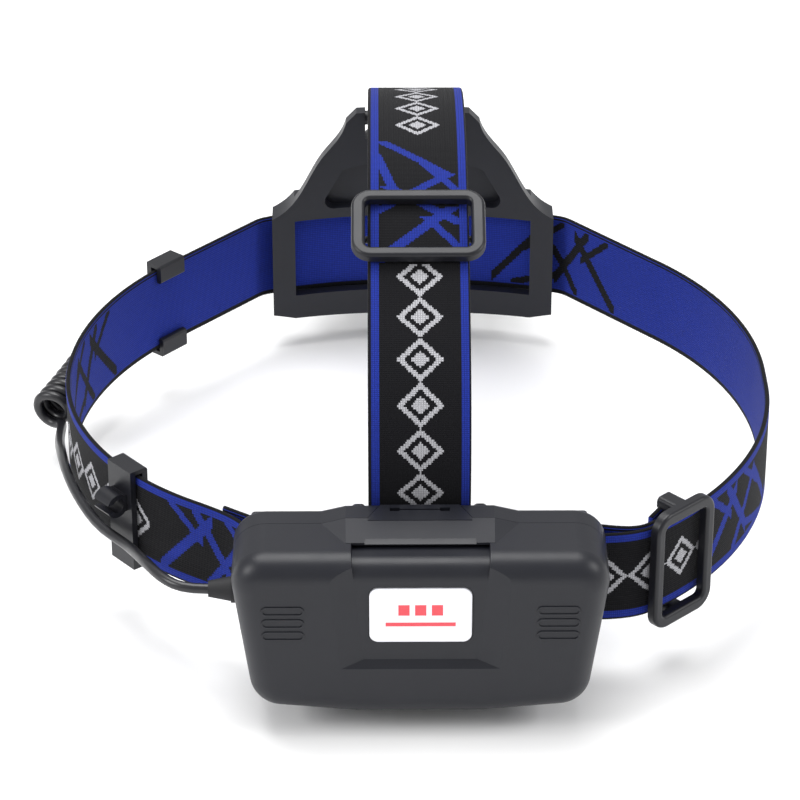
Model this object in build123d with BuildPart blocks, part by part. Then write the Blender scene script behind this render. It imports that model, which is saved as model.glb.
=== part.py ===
from build123d import *
import os
from math import acos, asin, atan2, cos, degrees, hypot, radians, sin, tan

os.makedirs("parts", exist_ok=True)

# Frame: +Z up, +Y the way the lamp shines, origin at the centre of the head band.

# Webbing and the gaps round it
WEB_WIDTH = 25.0
WEB_THICK = 1.4
SOFT_GAP = 0.3
RUN_GAP = 0.05
PART_GAP = 0.1
LAYER_STEP = WEB_THICK + SOFT_GAP

# Head band, along the centre of the webbing's thickness
RING_R = 92.0
LEFT_R = 80.0
LEFT_X = LEFT_R - RING_R
RIGHT_R = 91.3
RIGHT_X = RING_R - RIGHT_R
RIGHT_Y = -8.0
RIGHT_JOIN = -51.5
RIGHT_WRAP = -90.0
BAND_ARC_R = 134.5
BAND_ARC_HALF = 17.2
BAND_BEND_R = 8.0
BAND_BEND_RUN = 4.0

# Strap bars that the webbing wraps
BAR_R = 1.6
WRAP_R = BAR_R + SOFT_GAP - 0.1 + WEB_THICK / 2
BAR_X = 39.0
BAR_Y = -80.55
TOP_BAR_Y = -79.9
TOP_BAR_Z = 16.0
LUG = 4.4
LUG_SIDE = 3.2
LUG_HALF = WEB_WIDTH / 2 + 2.4

# Top strap, in the plane that splits the head left from right
CROWN_R = 100.0
CROWN_Z = -16.5
CROWN_NEAR = 35.0
SHOULDER_R = 42.0
KNEE_TURN = 40.0
FRONT_BAR_Y = 93.6
FRONT_BAR_Z = 42.0
FRONT_BAR_R = 2.0
FRONT_WRAP_R = FRONT_BAR_R + SOFT_GAP + WEB_THICK / 2

# Tri-glide sliders
GLIDE_LENGTH = 21.0
GLIDE_WIDTH = WEB_WIDTH + 8.0
GLIDE_BAR = 3.0
GLIDE_THICK = 2.6
GLIDE_RISE = 1.1
GLIDE_BAR_R = 0.9
TAB_WRAP_R = GLIDE_BAR_R + 0.2 + WEB_THICK / 2
HEAD_GLIDE_ANGLE = -46.5
TOP_GLIDE_ANGLE = 24.5

# Cable clips on the left of the band
CLIP_LENGTH = 9.5
CLIP_HEIGHT = WEB_WIDTH + 3.6
CLIP_WALL = 1.6
CLIP_GAP = 0.4
CLIP_HOOK = 6.0
REAR_CLIP_ANGLE = 220.0
FRONT_CLIP_ANGLE = 139.0
HOOK_RISE = 5.6
REAR_HOOK_Z = -5.0
FRONT_HOOK_Z = -4.0

# Lead between the battery box and the lamp
LEAD_D = 2.7
HOOK_R = LEAD_D / 2 + 0.45
HOOK_WALL = 1.4
COIL_D = 11.8

# Battery box
BOX_BACK = 84.1
SHELL_DEPTH = 7.5
SEAM = BOX_BACK + SHELL_DEPTH
COVER_DEPTH = 18.4
BOX_TOP = 21.0
BOX_BOTTOM = -23.6
BOTTOM_RISE = 2.4
BOTTOM_HALF = 15.0
BOX_TOP_HALF = 46.5
BOX_BOTTOM_HALF = 40.5
BOX_CORNER = 8.0
WALL = 2.0
FACE_ROUND = 6.0
RIM_ROUND = 2.5
LUG_ROOT = 1.9
GROOVE_IN = 0.6
GROOVE_WIDTH = 1.0
GROOVE_DEPTH = 0.9
HUMP_HALF = 18.0
HUMP_RISE = 1.5
HUMP_RUN = 9.0
HUMP_TAPER = 9.0
BAND_STEP = 1.5
BAND_SLOPE = 6.0
FRONT_WALL = 3.0
BADGE_POCKET = 0.5
GRIP_Z = 4.2
BAND_BOTTOM = -7.0
BAND_TOP_HALF = 17.3
BAND_BOTTOM_HALF = 13.6
TONGUE_HALF = 12.6
TONGUE_TIP_HALF = 9.6
TONGUE_THICK = 1.7
THUMB_HALF = 13.4
THUMB_R = 13.0
BADGE_WIDTH = 24.6
BADGE_HEIGHT = 15.0
BADGE_Z = 5.7
HINGE_Z = BOX_BOTTOM - 2.4
HINGE_PIN_R = 1.0
KNUCKLE_R = 2.3
KNUCKLE_HALF = 7.0
HINGE_HALF = 14.6

# Cells and what they touch
CELL_R = 9.15
CELL_LENGTH = 65.0
CELL_PITCH = 18.5
CELL_Y = -97.6
CELL_Z = -0.5
BUTTON = 1.2
SPRING_GAP = 4.5
PLATE_X0 = -33.5
PLATE_X1 = PLATE_X0 + BUTTON + CELL_LENGTH + SPRING_GAP
PLATE = 0.5
RIB = 1.4

# Forehead bracket, bent about an upright axis
BRACKET_R = 130.0
BRACKET_Y = -38.0
POST_THICK = 3.4
CHANNEL = 2.4
WALL_THICK = 2.4
BRACKET_DEPTH = POST_THICK + CHANNEL + WALL_THICK
BRACKET_HALF = 40.3
BRACKET_TOP = 44.5
BRACKET_BOTTOM = -20.0
WINDOW_HALF = 34.2
WINDOW_HEIGHT = WEB_WIDTH - 1.0

# Lamp, on the tilt axis
TILT_Y = 121.5
TILT_Z = -4.0
LUG_INNER = 21.5
LUG_OUTER = 26.0
BODY_R = 16.5
BODY_BORE = 14.0
BODY_REAR = 112.0
BODY_FRONT = 139.0
SHELF = 133.0
SHELF_THICK = 2.5
BOSS_END = 20.7
HEAD_R = 19.2
HEAD_REAR = 128.4
HEAD_FRONT = 149.5
ZOOM_TRAVEL = 8.0
LENS_R = 16.4
DOME_R = 26.0
DOME_EDGE = 14.0
BEZEL_R = 20.2
SLEEVE_R = 4.0
SCREW_R = 1.45
SWITCH_Y = 117.8
SWITCH_STROKE = 1.0


def on_circle(radius, angle, centre=(0.0, 0.0)):
    """Point of a circle, the angle in degrees."""
    return (centre[0] + radius * cos(radians(angle)), centre[1] + radius * sin(radians(angle)))


def heading(angle):
    """Direction of travel anticlockwise round a circle at an angle in degrees."""
    return (-sin(radians(angle)), cos(radians(angle)))


def box_profile(inset=0.0):
    """Outline of the battery box: a trapezoid with round corners."""
    with BuildSketch() as profile:
        with BuildLine():
            Polyline(
                (-BOX_TOP_HALF, BOX_TOP),
                (BOX_TOP_HALF, BOX_TOP),
                (BOX_BOTTOM_HALF, BOX_BOTTOM + BOTTOM_RISE),
                (BOTTOM_HALF, BOX_BOTTOM),
                (-BOTTOM_HALF, BOX_BOTTOM),
                (-BOX_BOTTOM_HALF, BOX_BOTTOM + BOTTOM_RISE),
                close=True,
            )
        make_face()
        fillet(profile.vertices(), BOX_CORNER)
        if inset:
            offset(amount=-inset)
    return profile.sketch


def rounded_block(inset, start, depth, edge_r):
    """Block of the box's outline with its outer face edges rounded."""
    with BuildPart() as block:
        with BuildSketch(Plane.XZ.offset(start)):
            add(box_profile(inset))
        extrude(amount=depth)
        fillet(block.edges().group_by(Axis.Y)[0], edge_r)
    return block.part


def hump_profile():
    """Raised middle of the box's top edge."""
    with BuildSketch() as profile:
        with BuildLine():
            Polyline(
                (-HUMP_HALF - 4 * HUMP_RISE, BOX_TOP - 0.01),
                (-HUMP_HALF, BOX_TOP + HUMP_RISE),
                (HUMP_HALF, BOX_TOP + HUMP_RISE),
                (HUMP_HALF + 4 * HUMP_RISE, BOX_TOP - 0.01),
                (HUMP_HALF, BOX_TOP - WALL),
                (-HUMP_HALF, BOX_TOP - WALL),
                close=True,
            )
        make_face()
    return profile.sketch


def tri_glide(plane):
    """Slider of three bars; the plane's X runs along the strap and its Z points outwards."""
    side = (GLIDE_WIDTH / 2 + WEB_WIDTH / 2 + 0.6) / 2
    side_width = GLIDE_WIDTH / 2 - WEB_WIDTH / 2 - 0.6
    bar_drop = WEB_THICK / 2 + SOFT_GAP + WEB_THICK + 0.2 + GLIDE_BAR_R
    with BuildPart(plane) as glide:
        with BuildSketch(plane.offset(GLIDE_RISE)):
            RectangleRounded(GLIDE_LENGTH, GLIDE_WIDTH, 5)
            RectangleRounded(
                GLIDE_LENGTH - 2 * GLIDE_BAR, 2 * (side - side_width / 2), 1.5, mode=Mode.SUBTRACT
            )
        extrude(amount=GLIDE_THICK)
        fillet(glide.edges().group_by(Axis((0, 0, 0), plane.z_dir))[-1], 0.9)
        with BuildSketch(plane.offset(-bar_drop - GLIDE_BAR_R)):
            with Locations((0, side), (0, -side)):
                RectangleRounded(5, side_width, 1.2)
        extrude(amount=bar_drop + GLIDE_BAR_R + GLIDE_RISE + 1)
        with BuildSketch(Plane(plane.offset(-bar_drop).origin, x_dir=plane.x_dir, z_dir=plane.y_dir)):
            Circle(GLIDE_BAR_R)
        extrude(amount=side, both=True)
    return glide.part


def glide_tab(plane):
    """Sewn end of the webbing, wrapped round a slider's middle bar."""
    bar_drop = WEB_THICK / 2 + SOFT_GAP + WEB_THICK + 0.2 + GLIDE_BAR_R
    section = Plane(plane.origin, x_dir=plane.x_dir, z_dir=-plane.y_dir)
    with BuildPart() as tab:
        with BuildSketch(section.offset(-WEB_WIDTH / 2)):
            with BuildLine():
                Line((-5.2, TAB_WRAP_R - bar_drop), (0, TAB_WRAP_R - bar_drop))
                CenterArc((0, -bar_drop), TAB_WRAP_R, 90, -180)
                Line((0, -TAB_WRAP_R - bar_drop), (-5.2, -bar_drop - 0.4))
            trace(line_width=WEB_THICK)
        extrude(amount=WEB_WIDTH)
    return tab.part


def cable_clip(plane, hook_z):
    """C-shaped clip over the webbing with a hook for the lead; Y of the plane points up."""
    edge = WEB_WIDTH / 2 + 0.6
    lip = CLIP_HEIGHT / 2 - edge
    back = WEB_THICK / 2 + CLIP_GAP
    section = Plane(plane.origin, x_dir=plane.z_dir, z_dir=plane.x_dir)
    with BuildPart() as clip:
        with BuildSketch(section.offset(-CLIP_LENGTH / 2)) as profile:
            with Locations((back + CLIP_WALL / 2, 0)):
                Rectangle(CLIP_WALL, CLIP_HEIGHT)
            with Locations((0, -edge - lip / 2), (0, edge + lip / 2)):
                Rectangle(2 * (back + CLIP_WALL), lip)
            with Locations((-back - CLIP_WALL / 2, -edge + 1.5), (-back - CLIP_WALL / 2, edge - 1.5)):
                Rectangle(CLIP_WALL, 2 * lip + 3)
            fillet(profile.vertices().group_by(Axis.X)[0], 0.8)
        extrude(amount=CLIP_LENGTH)
        with BuildSketch(section.offset(-CLIP_HOOK / 2)):
            with Locations((HOOK_RISE, hook_z)):
                Circle(HOOK_R + HOOK_WALL)
            with Locations((HOOK_RISE - 2, hook_z)):
                Rectangle(3, 2 * HOOK_R + 1)
        extrude(amount=CLIP_HOOK)
        with BuildSketch(section.offset(-CLIP_LENGTH)):
            with Locations((HOOK_RISE, hook_z)):
                Circle(HOOK_R)
            with Locations((HOOK_RISE + 3, hook_z)):
                Rectangle(6, LEAD_D - 0.5)
        extrude(amount=2 * CLIP_LENGTH, mode=Mode.SUBTRACT)
    return clip.part


def lead_tube(points, name):
    """Round lead along straight runs and arcs as large as the runs allow."""
    route = [Vector(*point) for point in points]
    runs = [after - before for before, after in zip(route, route[1:])]
    radii = []
    for before, after in zip(runs, runs[1:]):
        half_turn = radians(before.get_angle(after)) / 2
        radii.append(0.45 * min(before.length, after.length) / tan(half_turn))
    with BuildPart() as tube:
        with BuildLine() as line:
            FilletPolyline(*route, radius=radii)
        start = line.wire().position_at(0)
        with BuildSketch(Plane(start, z_dir=line.wire().tangent_at(0))):
            Circle(LEAD_D / 2)
        sweep()
    length = line.wire().length
    expected = length * 3.14159 * (LEAD_D / 2) ** 2
    print(name, "length", round(length, 1), "radii", [round(radius, 1) for radius in radii])
    print(name, "volume", round(tube.part.volume, 1), "expected", round(expected, 1))
    return tube.part


# ---- Head band -------------------------------------------------------------------------

right_centre = (RIGHT_X, RIGHT_Y)
arc_end = on_circle(BAND_ARC_R, 90 - BAND_ARC_HALF, (0, BRACKET_Y))
bend = Vector(*arc_end) - Vector(*heading(90 - BAND_ARC_HALF)) * BAND_BEND_RUN
ring_leave = degrees(atan2(bend.Y, bend.X) - acos(RING_R / hypot(bend.X, bend.Y)))
inner_r = RIGHT_R - LAYER_STEP
inner_end = HEAD_GLIDE_ANGLE - degrees(5.5 / inner_r)
LEFT_LEAVE = 236.0
LEFT_WRAP = 200.0

with BuildPart() as head_strap:
    with BuildSketch(Plane.XY.offset(-WEB_WIDTH / 2)):
        with BuildLine():
            CenterArc(right_centre, inner_r, inner_end, RIGHT_JOIN - inner_end)
            Spline(
                on_circle(inner_r, RIGHT_JOIN, right_centre),
                on_circle(WRAP_R, RIGHT_WRAP - 180, (BAR_X, BAR_Y)),
                tangents=[Vector(*heading(RIGHT_JOIN)) * -1, Vector(*heading(RIGHT_WRAP)) * -1],
            )
            CenterArc((BAR_X, BAR_Y), WRAP_R, RIGHT_WRAP, -180)
            Spline(
                on_circle(WRAP_R, RIGHT_WRAP, (BAR_X, BAR_Y)),
                on_circle(RIGHT_R, RIGHT_JOIN, right_centre),
                tangents=[heading(RIGHT_WRAP), heading(RIGHT_JOIN)],
            )
            CenterArc(right_centre, RIGHT_R, RIGHT_JOIN, -RIGHT_JOIN)
            Line((RING_R, RIGHT_Y), (RING_R, 0))
            CenterArc((0, 0), RING_R, 0, ring_leave)
            FilletPolyline(on_circle(RING_R, ring_leave), bend, arc_end, radius=BAND_BEND_R)
            CenterArc((0, BRACKET_Y), BAND_ARC_R, 90 - BAND_ARC_HALF, 2 * BAND_ARC_HALF)
            FilletPolyline(
                (-arc_end[0], arc_end[1]),
                (-bend.X, bend.Y),
                on_circle(RING_R, 180 - ring_leave),
                radius=BAND_BEND_R,
            )
            CenterArc((0, 0), RING_R, 180 - ring_leave, ring_leave)
            CenterArc((LEFT_X, 0), LEFT_R, 180, LEFT_LEAVE - 180)
            Spline(
                on_circle(LEFT_R, LEFT_LEAVE, (LEFT_X, 0)),
                on_circle(WRAP_R, LEFT_WRAP, (-BAR_X, BAR_Y)),
                tangents=[heading(LEFT_LEAVE), heading(LEFT_WRAP)],
            )
            CenterArc((-BAR_X, BAR_Y), WRAP_R, LEFT_WRAP, 190)
            Spline(
                on_circle(WRAP_R, 30, (-BAR_X, BAR_Y)),
                (-48.3, -69.4),
                tangents=[heading(30), (-0.8, 0.6)],
            )
        trace(line_width=WEB_THICK)
    extrude(amount=WEB_WIDTH)
head_strap.part.label = "head_strap"
export_step(head_strap.part, "parts/head_strap.step")

glide_plane = Plane(
    (*on_circle(RIGHT_R, HEAD_GLIDE_ANGLE, right_centre), 0),
    x_dir=(*heading(HEAD_GLIDE_ANGLE), 0),
    z_dir=(*on_circle(1, HEAD_GLIDE_ANGLE), 0),
)
head_strap_slider = tri_glide(glide_plane)
head_strap_slider.label = "head_strap_slider"
export_step(head_strap_slider, "parts/head_strap_slider.step")
head_strap_end = glide_tab(glide_plane)
head_strap_end.label = "head_strap_end"
export_step(head_strap_end, "parts/head_strap_end.step")

rear_clip_plane = Plane(
    (*on_circle(LEFT_R, REAR_CLIP_ANGLE, (LEFT_X, 0)), 0),
    x_dir=(*heading(REAR_CLIP_ANGLE), 0),
    z_dir=(*on_circle(1, REAR_CLIP_ANGLE), 0),
)
rear_cable_clip = cable_clip(rear_clip_plane, REAR_HOOK_Z)
rear_cable_clip.label = "rear_cable_clip"
export_step(rear_cable_clip, "parts/rear_cable_clip.step")
front_clip_plane = Plane(
    (*on_circle(RING_R, FRONT_CLIP_ANGLE), 0),
    x_dir=(*heading(FRONT_CLIP_ANGLE), 0),
    z_dir=(*on_circle(1, FRONT_CLIP_ANGLE), 0),
)
front_cable_clip = cable_clip(front_clip_plane, FRONT_HOOK_Z)
front_cable_clip.label = "front_cable_clip"
export_step(front_cable_clip, "parts/front_cable_clip.step")

# ---- Top strap -------------------------------------------------------------------------

shoulder_wrap = (TOP_BAR_Y - WRAP_R, TOP_BAR_Z)
crown_near = on_circle(CROWN_R, 90 + CROWN_NEAR, (0, CROWN_Z))
shoulder_drop = (crown_near[0] + 85.0) / tan(radians(90 - CROWN_NEAR))
shoulder = (-85.0, crown_near[1] - shoulder_drop)
bar_reach = hypot(FRONT_BAR_Y, FRONT_BAR_Z - CROWN_Z)
bar_bearing = degrees(atan2(FRONT_BAR_Z - CROWN_Z, FRONT_BAR_Y))
crown_far = bar_bearing + degrees(acos((CROWN_R - FRONT_WRAP_R) / bar_reach))
near_run = Vector(*shoulder) - Vector(*crown_near)
wrap_run = Vector(*shoulder) - Vector(*shoulder_wrap)
shoulder_turn = radians(180 - near_run.get_angle(wrap_run))
knee_start = Vector(*shoulder) - near_run.normalized() * (SHOULDER_R * tan(shoulder_turn / 2))
knee_centre = on_circle(-SHOULDER_R, 90 + CROWN_NEAR, (knee_start.X, knee_start.Y))
knee_r = SHOULDER_R - LAYER_STEP
top_inner_r = CROWN_R - LAYER_STEP
top_inner_end = 90 + TOP_GLIDE_ANGLE + degrees(5.5 / top_inner_r)

with BuildPart() as top_strap:
    with BuildSketch(Plane.YZ.offset(-WEB_WIDTH / 2)):
        with BuildLine():
            CenterArc((0, CROWN_Z), top_inner_r, top_inner_end, 90 + CROWN_NEAR - top_inner_end)
            Line(
                on_circle(top_inner_r, 90 + CROWN_NEAR, (0, CROWN_Z)),
                on_circle(knee_r, 90 + CROWN_NEAR, knee_centre),
            )
            CenterArc(knee_centre, knee_r, 90 + CROWN_NEAR, KNEE_TURN)
            Spline(
                on_circle(knee_r, 90 + CROWN_NEAR + KNEE_TURN, knee_centre),
                (TOP_BAR_Y + WRAP_R, TOP_BAR_Z),
                tangents=[heading(90 + CROWN_NEAR + KNEE_TURN), (0, -1)],
            )
            CenterArc((TOP_BAR_Y, TOP_BAR_Z), WRAP_R, 0, -180)
            FilletPolyline(shoulder_wrap, shoulder, crown_near, radius=SHOULDER_R)
            CenterArc((0, CROWN_Z), CROWN_R, crown_far, 90 + CROWN_NEAR - crown_far)
            Line(
                on_circle(CROWN_R, crown_far, (0, CROWN_Z)),
                on_circle(FRONT_WRAP_R, crown_far, (FRONT_BAR_Y, FRONT_BAR_Z)),
            )
            CenterArc((FRONT_BAR_Y, FRONT_BAR_Z), FRONT_WRAP_R, crown_far, -185)
            Line(
                on_circle(FRONT_WRAP_R, crown_far - 185, (FRONT_BAR_Y, FRONT_BAR_Z)),
                on_circle(CROWN_R - 1.5 * LAYER_STEP, crown_far + 7, (0, CROWN_Z)),
            )
        trace(line_width=WEB_THICK)
    extrude(amount=WEB_WIDTH)
top_strap.part.label = "top_strap"
export_step(top_strap.part, "parts/top_strap.step")

top_normal = (0, *on_circle(1, 90 + TOP_GLIDE_ANGLE))
top_glide_plane = Plane(
    (0, *on_circle(CROWN_R, 90 + TOP_GLIDE_ANGLE, (0, CROWN_Z))),
    x_dir=(0, top_normal[2], -top_normal[1]),
    z_dir=top_normal,
)
top_strap_slider = tri_glide(top_glide_plane)
top_strap_slider.label = "top_strap_slider"
export_step(top_strap_slider, "parts/top_strap_slider.step")
top_strap_end = glide_tab(top_glide_plane)
top_strap_end.label = "top_strap_end"
export_step(top_strap_end, "parts/top_strap_end.step")

# ---- Forehead bracket ------------------------------------------------------------------

HALF_TURN = 40.0


def bent_slab(inner, outer, half_angle, low, high):
    """Slab of the bracket's bend between two radii and two heights."""
    with BuildPart() as slab:
        with BuildSketch(Plane.XY.offset(low)):
            with BuildLine():
                near = CenterArc((0, BRACKET_Y), inner, 90 - half_angle, 2 * half_angle)
                far = CenterArc((0, BRACKET_Y), outer, 90 - half_angle, 2 * half_angle)
                Line(near @ 0, far @ 0)
                Line(near @ 1, far @ 1)
            make_face()
        extrude(amount=high - low)
    return slab.part


post_outer = BRACKET_R + POST_THICK
wall_inner = post_outer + CHANNEL
bracket_outer = BRACKET_R + BRACKET_DEPTH
window_angle = degrees(WINDOW_HALF / BRACKET_R)
wall_angle = degrees(30.0 / bracket_outer)

with BuildPart() as front_bracket:
    with BuildSketch(Plane.XZ) as outline:
        with BuildLine():
            Polyline((0, BRACKET_BOTTOM), (34, BRACKET_BOTTOM + 0.6), (BRACKET_HALF, -17.5))
            Line((BRACKET_HALF, -17.5), (BRACKET_HALF, 13.5))
            Spline(
                (BRACKET_HALF, 13.5),
                (26, 31),
                (19, BRACKET_TOP - 3),
                tangents=[(-1, 0.35), (-0.25, 1)],
            )
            Polyline((19, BRACKET_TOP - 3), (16, BRACKET_TOP), (0, BRACKET_TOP))
            mirror(about=Plane.YZ)
        make_face()
    extrude(amount=-(bracket_outer + BRACKET_Y) - 2)
    add(bent_slab(BRACKET_R, bracket_outer, HALF_TURN, BRACKET_BOTTOM - 1, BRACKET_TOP + 1),
        mode=Mode.INTERSECT)
    # Window to the webbing, its channel, and the open ends where it comes out forwards
    add(bent_slab(BRACKET_R - 1, post_outer, window_angle, -WINDOW_HEIGHT / 2, WINDOW_HEIGHT / 2),
        mode=Mode.SUBTRACT)
    add(bent_slab(post_outer, wall_inner, HALF_TURN, -WEB_WIDTH / 2 - 0.5, WEB_WIDTH / 2 + 0.5),
        mode=Mode.SUBTRACT)
    with BuildSketch(Plane.XY.offset(-WEB_WIDTH / 2 - 0.5)):
        with GridLocations(2 * 45, 0, 2, 1):
            with Locations((0, bracket_outer + BRACKET_Y)):
                Rectangle(30, 2 * (bracket_outer - post_outer) + 16)
        add(
            bent_slab(BRACKET_R - 1, post_outer, HALF_TURN, 0, 1).faces().sort_by(Axis.Z)[0],
            mode=Mode.SUBTRACT,
        )
    extrude(amount=WEB_WIDTH + 1, mode=Mode.SUBTRACT)
    # Thinner plate above the wall, with a shallow arched hollow on the forehead side
    add(bent_slab(BRACKET_R + 4, bracket_outer + 1, HALF_TURN, 18, BRACKET_TOP + 1),
        mode=Mode.SUBTRACT)
    with BuildSketch(Plane.XZ.offset(-BRACKET_Y - BRACKET_R + 60)) as arch:
        with BuildLine():
            Line((-27, 15), (27, 15))
            Line((27, 15), (20, 27))
            ThreePointArc((20, 27), (0, 29.5), (-20, 27))
            Line((-20, 27), (-27, 15))
        make_face()
        fillet(arch.vertices(), 2.5)
    extrude(amount=-60 - 1.6, mode=Mode.SUBTRACT)
    # Notch and round bar for the top strap
    with BuildSketch(Plane.XZ):
        with Locations((0, BRACKET_TOP)):
            Rectangle(WEB_WIDTH + 2, 2 * (BRACKET_TOP - 36.5))
    extrude(amount=-120, mode=Mode.SUBTRACT)
    with BuildSketch(Plane.YZ):
        with Locations((FRONT_BAR_Y, FRONT_BAR_Z)):
            Circle(FRONT_BAR_R)
    extrude(amount=WEB_WIDTH / 2 + 2.5, both=True)
    # Lugs that carry the lamp
    with BuildSketch(Plane.YZ.offset(LUG_INNER)):
        with BuildLine():
            Polyline((96.5, TILT_Z - 8), (TILT_Y, TILT_Z - 6.5))
            CenterArc((TILT_Y, TILT_Z), 6.5, -90, 180)
            Polyline((TILT_Y, TILT_Z + 6.5), (96.5, TILT_Z + 12), (96.5, TILT_Z - 8))
        make_face()
    lug_tool = extrude(amount=LUG_OUTER - LUG_INNER)
    mirror(lug_tool, about=Plane.YZ)
    with BuildSketch(Plane.YZ.offset(-LUG_OUTER - 1)):
        with Locations((TILT_Y, TILT_Z)):
            Circle(SLEEVE_R + RUN_GAP)
    extrude(amount=LUG_OUTER, mode=Mode.SUBTRACT)
    with BuildSketch(Plane.YZ.offset(1)):
        with Locations((TILT_Y, TILT_Z)):
            Circle(SCREW_R + 0.08)
    extrude(amount=LUG_OUTER, mode=Mode.SUBTRACT)
    add(bent_slab(post_outer, wall_inner, HALF_TURN, -WEB_WIDTH / 2 - 0.5, WEB_WIDTH / 2 + 0.5),
        mode=Mode.SUBTRACT)
front_bracket.part.label = "front_bracket"
export_step(front_bracket.part, "parts/front_bracket.step")

# ---- Battery box -----------------------------------------------------------------------

cavity_floor = BOX_BACK + 2.0
gland_y = BOX_BACK + SHELL_DEPTH / 2
gland_face = BOX_TOP_HALF - 1.9
gland_r = SHELL_DEPTH / 2 - 0.15
cover_front = SEAM + PART_GAP + COVER_DEPTH
cell_high = CELL_PITCH / 2

with BuildPart() as battery_back:
    with BuildSketch(Plane.XZ.offset(BOX_BACK)):
        add(box_profile())
        add(hump_profile())
    extrude(amount=SHELL_DEPTH)
    fillet(battery_back.edges().group_by(Axis.Y)[-1], RIM_ROUND)
    with BuildSketch(Plane.XZ.offset(cavity_floor)):
        add(box_profile(WALL))
    extrude(amount=SHELL_DEPTH, mode=Mode.SUBTRACT)
    # Place for the cover's tongue
    with BuildSketch(Plane.XY.offset(BOX_TOP + HUMP_RISE - TONGUE_THICK - PART_GAP)):
        with BuildLine():
            Polyline(
                (-TONGUE_HALF - PART_GAP, -SEAM - 1),
                (-TONGUE_HALF - PART_GAP, -SEAM),
                (-TONGUE_TIP_HALF - PART_GAP, -BOX_BACK - 1.2),
                (TONGUE_TIP_HALF + PART_GAP, -BOX_BACK - 1.2),
                (TONGUE_HALF + PART_GAP, -SEAM),
                (TONGUE_HALF + PART_GAP, -SEAM - 1),
                close=True,
            )
        make_face()
    extrude(amount=10, mode=Mode.SUBTRACT)
    # Cradle ribs and the walls that hold the contact plates
    with BuildSketch(Plane.XZ.offset(cavity_floor - 0.5)):
        with Locations((-18, 0), (20, 0)):
            Rectangle(2, 2 * (BOX_TOP - WALL) - 1)
        with Locations((PLATE_X0 - PLATE - RIB / 2, 0), (PLATE_X1 + PLATE + RIB / 2, 0)):
            Rectangle(RIB, 32)
    extrude(amount=10)
    with BuildSketch(Plane.YZ.offset(-30)):
        with Locations((CELL_Y, CELL_Z + cell_high), (CELL_Y, CELL_Z - cell_high)):
            Circle(CELL_R + 0.15)
    extrude(amount=60, mode=Mode.SUBTRACT)
    # Gland boss and hole
    with BuildSketch(Plane.YZ.offset(-gland_face)):
        with Locations((-gland_y, 0)):
            Circle(gland_r)
    extrude(amount=4)
    with BuildSketch(Plane.YZ.offset(-gland_face - 1)):
        with Locations((-gland_y, 0)):
            Circle(2.4)
    extrude(amount=8, mode=Mode.SUBTRACT)
    # Upright strap bars at the sides and a level one at the top, each between two lugs
    for side in (-1, 1):
        with BuildSketch(Plane.XZ.offset(BOX_BACK + LUG_ROOT)):
            with Locations((side * BAR_X, 0)):
                with GridLocations(1, 2 * LUG_HALF, 1, 2):
                    RectangleRounded(LUG, LUG_SIDE, 1)
        extrude(amount=BAR_Y + BOX_BACK + BAR_R + 0.3 + LUG_ROOT, dir=(0, 1, 0))
        with BuildSketch(Plane.XY.offset(-LUG_HALF)):
            with Locations((side * BAR_X, BAR_Y)):
                Circle(BAR_R)
        extrude(amount=2 * LUG_HALF)
    with BuildSketch(Plane.XZ.offset(BOX_BACK + LUG_ROOT)):
        with Locations((0, TOP_BAR_Z)):
            with GridLocations(2 * LUG_HALF, 1, 2, 1):
                RectangleRounded(LUG_SIDE, LUG, 1)
    extrude(amount=TOP_BAR_Y + BOX_BACK + BAR_R + 0.3 + LUG_ROOT, dir=(0, 1, 0))
    with BuildSketch(Plane.YZ.offset(-LUG_HALF)):
        with Locations((TOP_BAR_Y, TOP_BAR_Z)):
            Circle(BAR_R)
    extrude(amount=2 * LUG_HALF)
    # Flat pad that rests on the head
    with BuildSketch(Plane.XZ.offset(BOX_BACK)):
        with Locations((0, -5)):
            RectangleRounded(62, 24, 4)
    extrude(amount=0.8, dir=(0, 1, 0))
    # Outer hinge knuckles
    with BuildSketch(Plane.YZ.offset(KNUCKLE_HALF + PART_GAP)):
        with Locations((-SEAM, HINGE_Z)):
            Circle(KNUCKLE_R)
        with Locations((-SEAM + KNUCKLE_R / 2, (HINGE_Z + BOX_BOTTOM + 1) / 2)):
            Rectangle(KNUCKLE_R, BOX_BOTTOM + 1 - HINGE_Z)
        with Locations((-SEAM, HINGE_Z)):
            Circle(HINGE_PIN_R + RUN_GAP, mode=Mode.SUBTRACT)
    knuckle = extrude(amount=HINGE_HALF - KNUCKLE_HALF - PART_GAP)
    mirror(knuckle, about=Plane.YZ)
    # Groove for the seal
    with BuildSketch(Plane.XZ.offset(SEAM)):
        add(box_profile(GROOVE_IN))
        add(box_profile(GROOVE_IN + GROOVE_WIDTH), mode=Mode.SUBTRACT)
    extrude(amount=-GROOVE_DEPTH, mode=Mode.SUBTRACT)
battery_back.part.label = "battery_back"
export_step(battery_back.part, "parts/battery_back.step")



def band_profile(spread):
    """Tapering middle band of the cover, spread at its sides."""
    with BuildSketch() as profile:
        Polygon(
            (-BAND_TOP_HALF - spread, BOX_TOP + 6),
            (BAND_TOP_HALF + spread, BOX_TOP + 6),
            (BAND_BOTTOM_HALF + spread, BAND_BOTTOM - spread / 3),
            (-BAND_BOTTOM_HALF - spread, BAND_BOTTOM - spread / 3),
            align=None,
        )
    return profile.sketch


with BuildPart() as centre_band:
    with BuildSketch(Plane.XZ.offset(BOX_BACK)):
        add(band_profile(0))
    extrude(amount=40)
    add(
        rounded_block(BAND_STEP, SEAM, COVER_DEPTH + PART_GAP - BAND_STEP, FACE_ROUND - BAND_STEP),
        mode=Mode.SUBTRACT,
    )

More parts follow.
